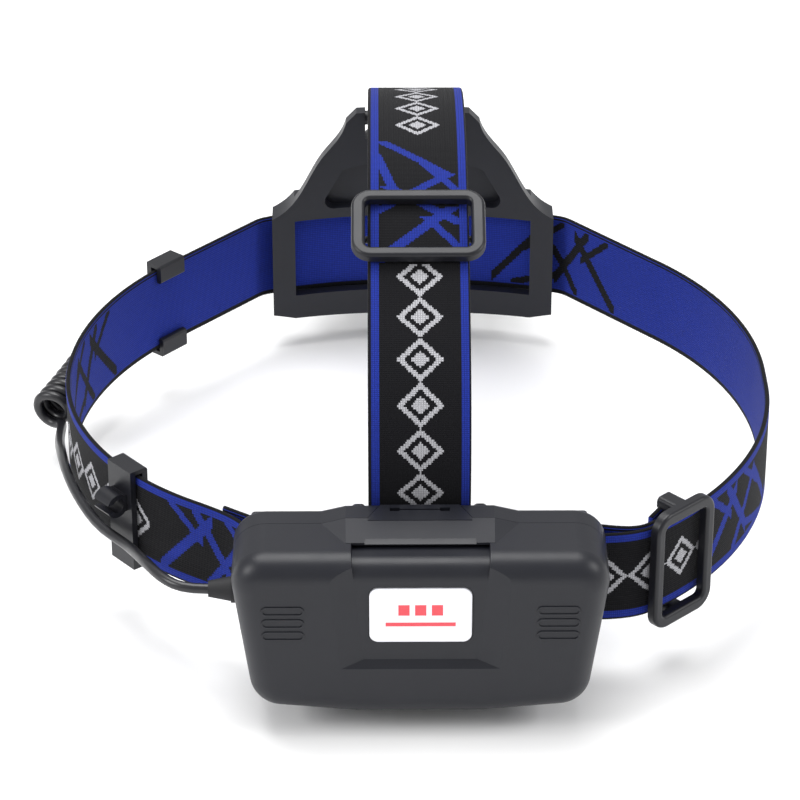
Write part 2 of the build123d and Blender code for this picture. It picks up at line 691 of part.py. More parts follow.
with BuildPart() as battery_cover:
    add(rounded_block(0, SEAM + PART_GAP, COVER_DEPTH, FACE_ROUND))
    add(centre_band.part, mode=Mode.SUBTRACT)
    with BuildSketch(Plane.XZ.offset(SEAM + PART_GAP)):
        add(hump_profile())
    extrude(amount=HUMP_RUN, taper=HUMP_TAPER)
    add(
        rounded_block(WALL, SEAM, COVER_DEPTH + PART_GAP - FRONT_WALL, FACE_ROUND - WALL),
        mode=Mode.SUBTRACT,
    )
    # Sloping sides of the middle band
    with BuildSketch(Plane.XZ.offset(cover_front - BAND_STEP)):
        add(band_profile(0))
    with BuildSketch(Plane.XZ.offset(cover_front + 0.1)):
        add(band_profile(BAND_SLOPE))
    loft(mode=Mode.SUBTRACT)
    # Thumb hollow below the tongue
    with BuildSketch(Plane.YZ.offset(-THUMB_HALF)):
        with Locations((-SEAM - 13.5, BOX_TOP + THUMB_R - 1.1)):
            Circle(THUMB_R)
    extrude(amount=2 * THUMB_HALF, mode=Mode.SUBTRACT)
    # Latch tongue over the back shell, with its relief slot
    with BuildSketch(Plane.XY.offset(BOX_TOP + HUMP_RISE - TONGUE_THICK)):
        with BuildLine():
            Polyline(
                (-TONGUE_HALF, -SEAM - 1),
                (-TONGUE_HALF, -SEAM),
                (-TONGUE_TIP_HALF, -BOX_BACK - 1.4),
                (TONGUE_TIP_HALF, -BOX_BACK - 1.4),
                (TONGUE_HALF, -SEAM),
                (TONGUE_HALF, -SEAM - 1),
                close=True,
            )
        make_face()
    extrude(amount=TONGUE_THICK)
    with BuildSketch(Plane.XY.offset(BOX_TOP + HUMP_RISE)):
        with Locations((0, -BOX_BACK - 3.6)):
            Rectangle(14.6, 1.6)
            Rectangle(9.8, 1.6, mode=Mode.SUBTRACT)
            Rectangle(9.8, 0.5)
    extrude(amount=-0.9, mode=Mode.SUBTRACT)
    # Badge pocket
    with BuildSketch(Plane.XZ.offset(cover_front - BAND_STEP)):
        with Locations((0, BADGE_Z)):
            RectangleRounded(BADGE_WIDTH + 0.6, BADGE_HEIGHT + 0.6, 2.5)
    extrude(amount=-BADGE_POCKET, mode=Mode.SUBTRACT)
    # Raised grip rings on both pillows
    with BuildSketch(Plane.XZ.offset(cover_front - 0.1)):
        with Locations((0, GRIP_Z)):
            with GridLocations(66, 3.5, 2, 3):
                SlotOverall(10.3, 2.5)
                SlotOverall(9.5, 1.7, mode=Mode.SUBTRACT)
    extrude(amount=0.35)
    # Bottom rib and the middle hinge knuckle
    with BuildSketch(Plane.XY.offset(BOX_BOTTOM + 0.5)):
        with Locations((0, -SEAM - 9)):
            RectangleRounded(18.4, 6, 1.5)
    extrude(amount=-1.1)
    with BuildSketch(Plane.YZ.offset(-KNUCKLE_HALF)):
        with Locations((-SEAM, HINGE_Z)):
            Circle(KNUCKLE_R)
        with Locations((-SEAM - PART_GAP - KNUCKLE_R / 2, (HINGE_Z + BOX_BOTTOM + 1) / 2)):
            Rectangle(KNUCKLE_R, BOX_BOTTOM + 1 - HINGE_Z)
        with Locations((-SEAM, HINGE_Z)):
            Circle(HINGE_PIN_R + RUN_GAP, mode=Mode.SUBTRACT)
    extrude(amount=2 * KNUCKLE_HALF)
battery_cover.part.label = "battery_cover"
export_step(battery_cover.part, "parts/battery_cover.step")

with BuildPart() as badge_plate:
    with BuildSketch(Plane.XZ.offset(cover_front - BAND_STEP - BADGE_POCKET)):
        with Locations((0, BADGE_Z)):
            RectangleRounded(BADGE_WIDTH, BADGE_HEIGHT, 2.2)
    extrude(amount=BADGE_POCKET + 0.5)
    fillet(badge_plate.edges().group_by(Axis.Y)[0], 0.3)
badge_plate.part.label = "badge_plate"
export_step(badge_plate.part, "parts/badge_plate.step")

with BuildPart() as cover_seal:
    with BuildSketch(Plane.XZ.offset(SEAM - GROOVE_DEPTH)):
        add(box_profile(GROOVE_IN + RUN_GAP))
        add(box_profile(GROOVE_IN + GROOVE_WIDTH - RUN_GAP), mode=Mode.SUBTRACT)
    extrude(amount=GROOVE_DEPTH)
cover_seal.part.label = "cover_seal"
export_step(cover_seal.part, "parts/cover_seal.step")

with BuildPart() as cover_hinge_pin:
    with BuildSketch(Plane.YZ.offset(-HINGE_HALF)):
        with Locations((-SEAM, HINGE_Z)):
            Circle(HINGE_PIN_R)
    extrude(amount=2 * HINGE_HALF)
cover_hinge_pin.part.label = "cover_hinge_pin"
export_step(cover_hinge_pin.part, "parts/cover_hinge_pin.step")

with BuildPart() as box_gland:
    with BuildSketch(Plane.YZ.offset(-gland_face)):
        with Locations((-gland_y, 0)):
            Circle(gland_r - 0.1)
    extrude(amount=-1.6)
    with BuildSketch(Plane.YZ.offset(-gland_face - 1.6)) as collar:
        with Locations((-gland_y, 0)):
            Circle(3.1)
    extrude(amount=-5.6, taper=11)
    with BuildSketch(Plane.YZ.offset(-gland_face)):
        with Locations((-gland_y, 0)):
            Circle(2.35)
    extrude(amount=4.5)
box_gland.part.label = "box_gland"
export_step(box_gland.part, "parts/box_gland.step")

for name, side in (("cell_upper", 1), ("cell_lower", -1)):
    start = PLATE_X1 - BUTTON if side > 0 else PLATE_X0 + BUTTON
    with BuildPart() as cell:
        with BuildSketch(Plane.YZ.offset(start)):
            with Locations((CELL_Y, CELL_Z + side * cell_high)):
                Circle(CELL_R)
        extrude(amount=-side * CELL_LENGTH)
        fillet(cell.edges(), 0.6)
        with BuildSketch(Plane.YZ.offset(start)):
            with Locations((CELL_Y, CELL_Z + side * cell_high)):
                Circle(3.2)
        extrude(amount=side * BUTTON)
    cell.part.label = name
    export_step(cell.part, f"parts/{name}.step")

with BuildPart() as cell_contacts:
    with BuildSketch(Plane.YZ.offset(PLATE_X0 - PLATE), Plane.YZ.offset(PLATE_X1)):
        with Locations((CELL_Y + 1, CELL_Z)):
            RectangleRounded(13, 31, 2)
    extrude(amount=PLATE)
cell_contacts.part.label = "cell_contacts"
export_step(cell_contacts.part, "parts/cell_contacts.step")

with BuildPart() as cell_springs:
    for side, foot in ((1, PLATE_X0), (-1, PLATE_X1)):
        with BuildSketch(Plane.XZ.offset(-CELL_Y - 3)):
            with BuildLine():
                tip = foot + side * (SPRING_GAP - 0.3)
                ThreePointArc(
                    (foot + side * 0.3, CELL_Z + side * cell_high - 6),
                    (tip, CELL_Z + side * cell_high),
                    (foot + side * 0.3, CELL_Z + side * cell_high + 6),
                )
            trace(line_width=0.5)
        extrude(amount=6)
cell_springs.part.label = "cell_springs"
export_step(cell_springs.part, "parts/cell_springs.step")

with BuildPart() as battery_board:
    with BuildSketch(Plane.YZ.offset(PLATE_X0 - PLATE - RIB)):
        with Locations((-SEAM - 0.5, 0)):
            Rectangle(10, 30)
    extrude(amount=-1.2)
    with BuildSketch(Plane.YZ.offset(PLATE_X0 - PLATE - RIB - 1.2)):
        with Locations((-SEAM - 1, 7), (-SEAM - 1, -9)):
            Rectangle(4, 5)
    extrude(amount=-1.2)
battery_board.part.label = "battery_board"
export_step(battery_board.part, "parts/battery_board.step")

# ---- Lamp ------------------------------------------------------------------------------


def lamp_plane(y):
    """Plane across the lamp's axis at a place along it, its Z pointing forwards."""
    return Plane((0, y, TILT_Z), x_dir=(1, 0, 0), z_dir=(0, 1, 0))


def disc(start, end, radius, bore=0.0):
    """Disc or ring about the lamp's axis."""
    with BuildPart() as ring:
        with BuildSketch(lamp_plane(start)):
            Circle(radius)
            if bore:
                Circle(bore, mode=Mode.SUBTRACT)
        extrude(amount=end - start)
    return ring.part


tilt_section = Plane.YZ
switch_top = TILT_Z + BODY_R + 1.2

with BuildPart() as lamp_body:
    add(disc(BODY_REAR, BODY_FRONT, BODY_R))
    with BuildSketch(tilt_section.offset(-BOSS_END)):
        with Locations((TILT_Y, TILT_Z)):
            Circle(6)
    extrude(amount=2 * BOSS_END)
    with BuildSketch(Plane.XY.offset(TILT_Z)):
        with Locations((0, SWITCH_Y)):
            Circle(5.6)
    extrude(amount=BODY_R + 1.2)
    add(disc(BODY_REAR - 1, SHELF, BODY_BORE), mode=Mode.SUBTRACT)
    add(disc(SHELF + SHELF_THICK, BODY_FRONT + 1, BODY_BORE), mode=Mode.SUBTRACT)
    add(disc(SHELF - 1, BODY_FRONT, 1.6), mode=Mode.SUBTRACT)
    with BuildSketch(tilt_section.offset(-BOSS_END - 1)):
        with Locations((TILT_Y, TILT_Z)):
            Circle(SLEEVE_R + RUN_GAP)
    extrude(amount=5, mode=Mode.SUBTRACT)
    with BuildSketch(tilt_section.offset(-BOSS_END)):
        with Locations((TILT_Y, TILT_Z)):
            Circle(1.7)
    extrude(amount=BOSS_END, mode=Mode.SUBTRACT)
    with BuildSketch(tilt_section.offset(5)):
        with Locations((TILT_Y, TILT_Z)):
            Circle(SCREW_R + 0.02)
    extrude(amount=BOSS_END, mode=Mode.SUBTRACT)
    with BuildSketch(Plane.XY.offset(TILT_Z)):
        with Locations((0, SWITCH_Y)):
            Circle(4.1)
    extrude(amount=BODY_R + 5, mode=Mode.SUBTRACT)
    with BuildSketch(Plane.XY.offset(TILT_Z)):
        with Locations((0, SWITCH_Y)):
            Circle(5.0)
    extrude(amount=BODY_R - 0.9, mode=Mode.SUBTRACT)
lamp_body.part.label = "lamp_body"
export_step(lamp_body.part, "parts/lamp_body.step")

with BuildPart() as zoom_head:
    add(disc(HEAD_REAR, HEAD_FRONT, HEAD_R))
    chamfer(zoom_head.edges().group_by(Axis.Y)[0], 1.0)
    add(disc(HEAD_FRONT - 4.5, HEAD_FRONT, HEAD_R + 1, HEAD_R - 0.4), mode=Mode.SUBTRACT)
    add(disc(HEAD_REAR - 1, HEAD_FRONT - 5, BODY_R + 0.1), mode=Mode.SUBTRACT)
    add(disc(HEAD_REAR, HEAD_FRONT - 3.5, 13.8), mode=Mode.SUBTRACT)
    add(disc(HEAD_FRONT - 3.5, HEAD_FRONT + 1, LENS_R + 0.1), mode=Mode.SUBTRACT)
    with BuildSketch(lamp_plane(HEAD_REAR + 4)):
        with PolarLocations(HEAD_R + 0.5, 24):
            Circle(1.1)
    extrude(amount=9, mode=Mode.SUBTRACT)
zoom_head.part.label = "zoom_head"
export_step(zoom_head.part, "parts/zoom_head.step")

with BuildPart() as lens_ring:
    add(disc(HEAD_FRONT - 4.4, HEAD_FRONT + 2, BEZEL_R))
    fillet(lens_ring.edges().group_by(Axis.Y)[-1], 0.8)
    add(disc(HEAD_FRONT - 5, HEAD_FRONT, HEAD_R - 0.35), mode=Mode.SUBTRACT)
    add(disc(HEAD_FRONT - 1, HEAD_FRONT + 3, 14.4), mode=Mode.SUBTRACT)
    with BuildSketch(lamp_plane(HEAD_FRONT - 4.5)):
        with PolarLocations(BEZEL_R + 0.4, 40):
            Circle(0.8)
    extrude(amount=4.5, mode=Mode.SUBTRACT)
lens_ring.part.label = "lens_ring"
export_step(lens_ring.part, "parts/lens_ring.step")

dome_angle = degrees(asin(DOME_EDGE / DOME_R))
dome_centre = HEAD_FRONT - 1.5 - DOME_R * cos(radians(dome_angle))
with BuildPart() as lens:
    with BuildSketch(Plane.YZ):
        with BuildLine():
            Polyline(
                (dome_centre + DOME_R, TILT_Z),
                (HEAD_FRONT - 7, TILT_Z),
                (HEAD_FRONT - 7, TILT_Z + 12.5),
                (HEAD_FRONT - 3.5, TILT_Z + 13.6),
                (HEAD_FRONT - 3.5, TILT_Z + LENS_R),
                (HEAD_FRONT - 1.5, TILT_Z + LENS_R),
                (HEAD_FRONT - 1.5, TILT_Z + DOME_EDGE),
            )
            CenterArc((dome_centre, TILT_Z), DOME_R, dome_angle, -dome_angle)
        make_face()
    revolve(axis=Axis((0, 0, TILT_Z), (0, 1, 0)))
lens.part.label = "lens"
export_step(lens.part, "parts/lens.step")

with BuildPart() as lens_o_ring:
    with BuildSketch(Plane.YZ):
        with Locations((HEAD_FRONT - 0.75, TILT_Z + 15.5)):
            Circle(0.72)
    revolve(axis=Axis((0, 0, TILT_Z), (0, 1, 0)))
lens_o_ring.part.label = "lens_o_ring"
export_step(lens_o_ring.part, "parts/lens_o_ring.step")

led_face = SHELF + SHELF_THICK
with BuildPart() as led_board:
    add(disc(led_face, led_face + 1.5, 10))
    with BuildSketch(lamp_plane(led_face)):
        with PolarLocations(10, 6):
            Circle(1.6)
    extrude(amount=2, mode=Mode.SUBTRACT)
led_board.part.label = "led_board"
export_step(led_board.part, "parts/led_board.step")

with BuildPart() as led_emitter:
    with BuildSketch(lamp_plane(led_face + 1.5)):
        Rectangle(5, 5)
    extrude(amount=0.7)
    add(disc(led_face + 2.2, led_face + 2.7, 2.2))
led_emitter.part.label = "led_emitter"
export_step(led_emitter.part, "parts/led_emitter.step")

with BuildPart() as driver_board:
    add(disc(SHELF - 1.2, SHELF, BODY_BORE - 0.1))
    with BuildSketch(lamp_plane(SHELF - 1.2)):
        with Locations((4, -6)):
            Rectangle(6, 6)
        with Locations((-6, 4)):
            Rectangle(4, 5)
    extrude(amount=-2.5)
driver_board.part.label = "driver_board"
export_step(driver_board.part, "parts/driver_board.step")

button_foot = TILT_Z + BODY_R - 2.1
with BuildPart() as rear_cover:
    add(disc(BODY_REAR - 1.5, BODY_REAR, BODY_R))
    fillet(rear_cover.edges().group_by(Axis.Y)[0], 0.8)
    add(disc(BODY_REAR, SWITCH_Y - 3.5, BODY_BORE - 0.1))
    with BuildSketch(Plane.XY.offset(button_foot - SWITCH_STROKE - 0.4)):
        with Locations((0, SWITCH_Y)):
            Circle(5.4)
    extrude(amount=5, mode=Mode.SUBTRACT)
rear_cover.part.label = "rear_cover"
export_step(rear_cover.part, "parts/rear_cover.step")

with BuildPart() as switch_button:
    with BuildSketch(Plane.XY.offset(button_foot)):
        with Locations((0, SWITCH_Y)):
            Circle(4.9)
    extrude(amount=1.0)
    with BuildSketch(Plane.XY.offset(button_foot)):
        with Locations((0, SWITCH_Y)):
            Circle(4.1 - RUN_GAP)
    extrude(amount=switch_top + 0.9 - button_foot)
    fillet(switch_button.edges().group_by(Axis.Z)[-1], 0.7)
switch_button.part.label = "switch_button"
export_step(switch_button.part, "parts/switch_button.step")

with BuildPart() as switch_module:
    with BuildSketch(Plane.XY.offset(button_foot - SWITCH_STROKE - 0.1)):
        with Locations((0, SWITCH_Y)):
            Circle(1.6)
    extrude(amount=-1.2)
    with BuildSketch(Plane.XY.offset(button_foot - SWITCH_STROKE - 1.0)):
        with Locations((0, SWITCH_Y)):
            Rectangle(7, 7)
    extrude(amount=-3.4)
switch_module.part.label = "switch_module"
export_step(switch_module.part, "parts/switch_module.step")

with BuildPart() as tilt_washers:
    with BuildSketch(Plane.YZ.offset(BOSS_END + RUN_GAP), Plane.YZ.offset(-LUG_INNER + RUN_GAP)):
        with Locations((TILT_Y, TILT_Z)):
            Circle(5.8)
            Circle(SLEEVE_R + 0.1, mode=Mode.SUBTRACT)
    extrude(amount=LUG_INNER - BOSS_END - 2 * RUN_GAP)
tilt_washers.part.label = "tilt_washers"
export_step(tilt_washers.part, "parts/tilt_washers.step")

with BuildPart() as pivot_sleeve:
    with BuildSketch(Plane.YZ.offset(-LUG_OUTER - 1)):
        with Locations((TILT_Y, TILT_Z)):
            Circle(6)
    extrude(amount=1)
    with BuildSketch(Plane.YZ.offset(-LUG_OUTER)):
        with Locations((TILT_Y, TILT_Z)):
            Circle(SLEEVE_R)
    extrude(amount=LUG_OUTER - 17)
    with BuildSketch(Plane.YZ.offset(-LUG_OUTER - 1)):
        with Locations((TILT_Y, TILT_Z)):
            Circle(2.4)
    extrude(amount=LUG_OUTER, mode=Mode.SUBTRACT)
pivot_sleeve.part.label = "pivot_sleeve"
export_step(pivot_sleeve.part, "parts/pivot_sleeve.step")

with BuildPart() as pivot_screw:
    with BuildSketch(Plane.YZ.offset(14)):
        with Locations((TILT_Y, TILT_Z)):
            Circle(SCREW_R)
    extrude(amount=LUG_OUTER + RUN_GAP - 14)
    with BuildSketch(Plane.YZ.offset(LUG_OUTER + RUN_GAP)):
        with Locations((TILT_Y, TILT_Z)):
            Circle(3.2)
    extrude(amount=2.2)
    fillet(pivot_screw.edges().group_by(Axis.X)[-1], 0.8)
    with BuildSketch(Plane.YZ.offset(LUG_OUTER + RUN_GAP + 2.2)):
        with Locations((TILT_Y, TILT_Z)):
            Rectangle(3.4, 0.7)
            Rectangle(0.7, 3.4)
    extrude(amount=-1.2, mode=Mode.SUBTRACT)
pivot_screw.part.label = "pivot_screw"
export_step(pivot_screw.part, "parts/pivot_screw.step")

with BuildPart() as lamp_gland:
    with BuildSketch(Plane.YZ.offset(-LUG_OUTER - 1)):
        with Locations((TILT_Y, TILT_Z)):
            Circle(4.4)
    extrude(amount=-1.5)
    with BuildSketch(Plane.YZ.offset(-LUG_OUTER - 2.5)):
        with Locations((TILT_Y, TILT_Z)):
            Circle(3.2)
    extrude(amount=-6.5, taper=10)
    with BuildSketch(Plane.YZ.offset(-LUG_OUTER - 1)):
        with Locations((TILT_Y, TILT_Z)):
            Circle(2.35)
    extrude(amount=8)
lamp_gland.part.label = "lamp_gland"
export_step(lamp_gland.part, "parts/lamp_gland.step")

# ---- Lead ------------------------------------------------------------------------------

COIL_NEAR = Vector(-100.5, 20.5, -13)
COIL_FAR = Vector(-84.8, 52.6, -4.5)

lead_rear = lead_tube(
    [
        (-gland_face - 7.2, -gland_y, 0),
        (-57.6, -gland_y, 0),
        (-63.0, -84.3, 0.6),
        (-67.3, -76.8, 0.2),
        (-70.4, -68.2, -2.4),
        (-73.8, -59.4, -4.9),
        (-81.3, -50.5, -5.1),
        (-87.4, -38.0, -4.2),
        (-91.6, -24.5, -4.4),
        (-94.2, -9.5, -7.2),
        (-96.2, 5.5, -12.4),
        (-97.0, 20.0, -15.6),
    ],
    "lead_rear",
)
lead_rear.label = "lead_rear"
export_step(lead_rear, "parts/lead_rear.step")

with BuildPart() as lead_coil:
    with BuildSketch(Plane(COIL_NEAR, z_dir=COIL_FAR - COIL_NEAR)):
        Circle(COIL_D / 2)
    extrude(amount=(COIL_FAR - COIL_NEAR).length)
lead_coil.part.label = "lead_coil"
export_step(lead_coil.part, "parts/lead_coil.step")

lead_front = lead_tube(
    [
        (-83.2, 52.3, -9.1),
        (-78.0, 59.0, -6.6),
        (-69.6, 68.6, -4.1),
        (-60.7, 80.0, -5.4),
        (-54.8, 90.8, -6.2),
        (-51.9, 100.6, -6.2),
        (-50.2, 109.6, -5.6),
        (-47.3, 117.2, -4.6),
        (-41.5, TILT_Y, TILT_Z),
        (-LUG_OUTER - 9.0, TILT_Y, TILT_Z),
    ],
    "lead_front",
)
lead_front.label = "lead_front"
export_step(lead_front, "parts/lead_front.step")
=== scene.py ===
"""Headlamp with woven straps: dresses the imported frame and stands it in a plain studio."""

from __future__ import annotations

import logging
from dataclasses import dataclass, field
from enum import Enum
from math import acos, atan2, ceil, cos, degrees, hypot, pi, radians, sin, tan
from typing import Callable, Sequence

import bmesh
import bpy
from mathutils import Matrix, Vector

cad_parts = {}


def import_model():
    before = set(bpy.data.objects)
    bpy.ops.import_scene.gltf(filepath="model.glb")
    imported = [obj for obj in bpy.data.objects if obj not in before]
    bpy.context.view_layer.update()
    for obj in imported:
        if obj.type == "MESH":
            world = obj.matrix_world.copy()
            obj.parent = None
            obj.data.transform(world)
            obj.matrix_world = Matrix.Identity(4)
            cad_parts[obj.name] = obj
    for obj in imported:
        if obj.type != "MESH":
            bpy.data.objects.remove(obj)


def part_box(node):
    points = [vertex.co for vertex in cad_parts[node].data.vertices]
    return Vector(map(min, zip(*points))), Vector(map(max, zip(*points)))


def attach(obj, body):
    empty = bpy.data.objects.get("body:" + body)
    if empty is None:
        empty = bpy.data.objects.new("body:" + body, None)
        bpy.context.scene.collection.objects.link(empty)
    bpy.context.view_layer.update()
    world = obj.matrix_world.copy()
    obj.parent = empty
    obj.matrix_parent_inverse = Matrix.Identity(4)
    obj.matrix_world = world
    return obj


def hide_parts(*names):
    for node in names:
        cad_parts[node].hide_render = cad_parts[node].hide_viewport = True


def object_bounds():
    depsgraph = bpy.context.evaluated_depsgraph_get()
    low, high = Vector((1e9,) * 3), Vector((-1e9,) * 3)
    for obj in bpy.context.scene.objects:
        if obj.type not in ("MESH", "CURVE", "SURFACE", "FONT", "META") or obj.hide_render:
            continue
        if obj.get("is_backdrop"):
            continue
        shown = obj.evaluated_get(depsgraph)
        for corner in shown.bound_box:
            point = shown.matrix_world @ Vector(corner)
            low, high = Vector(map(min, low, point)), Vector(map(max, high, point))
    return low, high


log = logging.getLogger("headlamp")
MM = 0.001
Point = tuple[float, float]


class Body(Enum):
    """Moving bodies of the frame that new pieces ride on."""

    HARNESS = "harness"
    HEAD_GLIDE = "head_glide"
    TOP_GLIDE = "top_glide"


class Side(Enum):
    """Faces of a webbing, each with its own material slot."""

    OUTER = 0
    INNER = 1


# ---- Shader wiring ---------------------------------------------------------------------


class Value:
    """A number socket that writes its arithmetic as Math nodes."""

    def __init__(self, wiring: "Wiring", socket: bpy.types.NodeSocket) -> None:
        """Keep the wiring and the socket."""
        self.wiring = wiring
        self.socket = socket

    def maths(self, operation: str, *others: "Value | float") -> "Value":
        """Add one Math node fed by this value first.

        Args:
            operation: name of the Math node's operation.
            others: the remaining operands.

        Returns:
            The node's result.
        """
        made = self.wiring.node("Math", {"operation": operation}, [self, *others])
        return Value(self.wiring, made)

    def __add__(self, other: "Value | float") -> "Value":
        """Add a value or number."""
        return self.maths("ADD", other)

    __radd__ = __add__

    def __mul__(self, other: "Value | float") -> "Value":
        """Multiply by a value or number."""
        return self.maths("MULTIPLY", other)

    __rmul__ = __mul__

    def __sub__(self, other: "Value | float") -> "Value":
        """Subtract a value or number."""
        return self.maths("SUBTRACT", other)

    def __rsub__(self, other: "Value | float") -> "Value":
        """Subtract this value from a number."""
        return (self * -1.0).maths("ADD", other)

    def __truediv__(self, other: "Value | float") -> "Value":
        """Divide by a value or number."""
        return self.maths("DIVIDE", other)

    def __gt__(self, other: "Value | float") -> "Value":
        """One where this value is the larger."""
        return self.maths("GREATER_THAN", other)

    def __lt__(self, other: "Value | float") -> "Value":
        """One where this value is the smaller."""
        return self.maths("LESS_THAN", other)

    def __abs__(self) -> "Value":
        """Absolute value."""
        return self.maths("ABSOLUTE")

    def wrap(self, period: float) -> "Value":
        """Fold the value into one period from zero."""
        return self.maths("FLOORED_MODULO", period)

    def steps(self, size: float) -> "Value":
        """Round down to whole steps."""
        return (self / size).maths("FLOOR") * size

    def wave(self, period: float) -> "Value":
        """Sine of the value over a period."""
        return (self * (2 * pi / period)).maths("SINE")

    def either(self, other: "Value") -> "Value":
        """Larger of two masks."""
        return self.maths("MAXIMUM", other)

    def inside(self, low: float, high: float) -> "Value":
        """Mask of the values between two limits."""
        return (self > low) * (self < high)


class Wiring:
    """Node tree of one material."""

    def __init__(self, name: str) -> None:
        """Start a material that holds one Principled shader."""
        self.material = bpy.data.materials.new(name)
        self.material.use_nodes = True
        self.tree = self.material.node_tree
        self.shader = self.tree.nodes["Principled BSDF"]

    def node(
        self,
        kind: str,
        settings: dict[str, object] | None = None,
        inputs: Sequence[object] | dict[str, object] = (),
        output: int | str = 0,
    ) -> bpy.types.NodeSocket:
        """Add a node, set it, and feed it.

        Args:
            kind: the node's type without its ShaderNode prefix.
            settings: attributes to set before its sockets.
            inputs: values or links, in order or by socket name.
            output: the output to return.

        Returns:
            The chosen output socket.
        """
        made = self.tree.nodes.new("ShaderNode" + kind)
        for key, value in (settings or {}).items():
            setattr(made, key, value)
        pairs = inputs.items() if isinstance(inputs, dict) else enumerate(inputs)
        for key, value in pairs:
            self.feed(made.inputs[key], value)
        return made.outputs[output]

    def feed(self, target: bpy.types.NodeSocket, value: object) -> None:
        """Link or set one input socket."""
        if isinstance(value, Value):
            value = value.socket
        if isinstance(value, bpy.types.NodeSocket):
            self.tree.links.new(value, target)
        elif isinstance(value, tuple) and len(value) == 3 and target.type == "RGBA":
            target.default_value = (*value, 1.0)
        else:
            target.default_value = value

    def coordinates(self, output: str = "Object") -> bpy.types.NodeSocket:
        """Texture coordinates of the piece itself."""
        return self.node("TexCoord", output=output)

    def split(self, vector: bpy.types.NodeSocket) -> list[Value]:
        """Components of a vector."""
        first = self.node("SeparateXYZ", inputs=[vector])
        return [Value(self, socket) for socket in first.node.outputs]

    def noise(self, size: float, detail: float = 3.0) -> Value:
        """Noise whose features are about a size in metres, from 0 to 1."""
        inputs = {"Vector": self.coordinates(), "Scale": 1 / size, "Detail": detail}
        return Value(self, self.node("TexNoise", {"noise_dimensions": "3D"}, inputs))

    def mix(self, factor: object, low: object, high: object) -> bpy.types.NodeSocket:
        """Blend two colours."""
        made = self.tree.nodes.new("ShaderNodeMix")
        made.data_type = "RGBA"
        for key, value in ((0, factor), (6, low), (7, high)):
            self.feed(made.inputs[key], value)
        return made.outputs[2]

    def bump(self, height: Value, strength: float, distance: float) -> None:
        """Feed the shader's normal from a height."""
        normal = self.node(
            "Bump", inputs={"Height": height, "Strength": strength, "Distance": distance}
        )
        self.feed(self.shader.inputs["Normal"], normal)

    def dress(self, **sockets: object) -> bpy.types.Material:
        """Set the shader's sockets, with underscores for spaces, and give the material."""
        for key, value in sockets.items():
            self.feed(self.shader.inputs[key.replace("_", " ")], value)
        return self.material


# ---- Finishes --------------------------------------------------------------------------

Colour = tuple[float, float, float]


@dataclass(frozen=True)
class MouldedPlastic:
    """Injection-moulded plastic with a spark-eroded grain and faint rubbing marks."""

    name: str
    colour: Colour
    roughness: float = 0.42
    grain: float = 0.00035
    grain_depth: float = 0.00003

    def material(self) -> bpy.types.Material:
        """Build the plastic.

        Returns:
            The material.
        """
        wiring = Wiring(self.name)
        grain = wiring.noise(self.grain, 2.0)
        cloud = wiring.noise(0.02, 4.0)
        rub = wiring.noise(0.004, 5.0)
        lighter = tuple(min(1.0, c * 1.22 + 0.004) for c in self.colour)
        wiring.bump(grain, 0.55, self.grain_depth)
        return wiring.dress(
            Base_Color=wiring.mix(cloud * 0.6 + grain * 0.25, self.colour, lighter),
            Roughness=rub * 0.10 + cloud * 0.08 + (self.roughness - 0.09),
            Specular_IOR_Level=0.36,
        )


@dataclass(frozen=True)
class Stroke:
    """One straight woven line of a pattern, in millimetres along and across the webbing."""

    start: Point
    end: Point
    width: float

    def mask(self, along: Value, across: Value) -> Value:
        """Mask of the stroke.

        Args:
            along: millimetres along the pattern's repeat.
            across: millimetres from the webbing's middle.

        Returns:
            One on the stroke, zero elsewhere.
        """
        slope = (self.end[1] - self.start[1]) / (self.end[0] - self.start[0])
        level = across - (along * slope + (self.start[1] - self.start[0] * slope))
        half = self.width / 2 * hypot(1.0, slope)
        return (abs(level) < half) * along.inside(self.start[0], self.end[0])


BRANCHES = (
    Stroke((0.0, -10.4), (17.0, 8.6), 2.6),
    Stroke((11.0, 11.0), (24.0, -7.6), 2.4),
    Stroke((15.0, -11.0), (29.0, 8.0), 2.2),
    Stroke((21.0, 10.6), (33.0, 1.2), 1.9),
    Stroke((23.0, -6.4), (37.0, -10.6), 2.2),
    Stroke((29.0, 6.6), (43.0, -9.6), 2.1),
    Stroke((3.0, 10.9), (14.0, 1.2), 1.9),
)


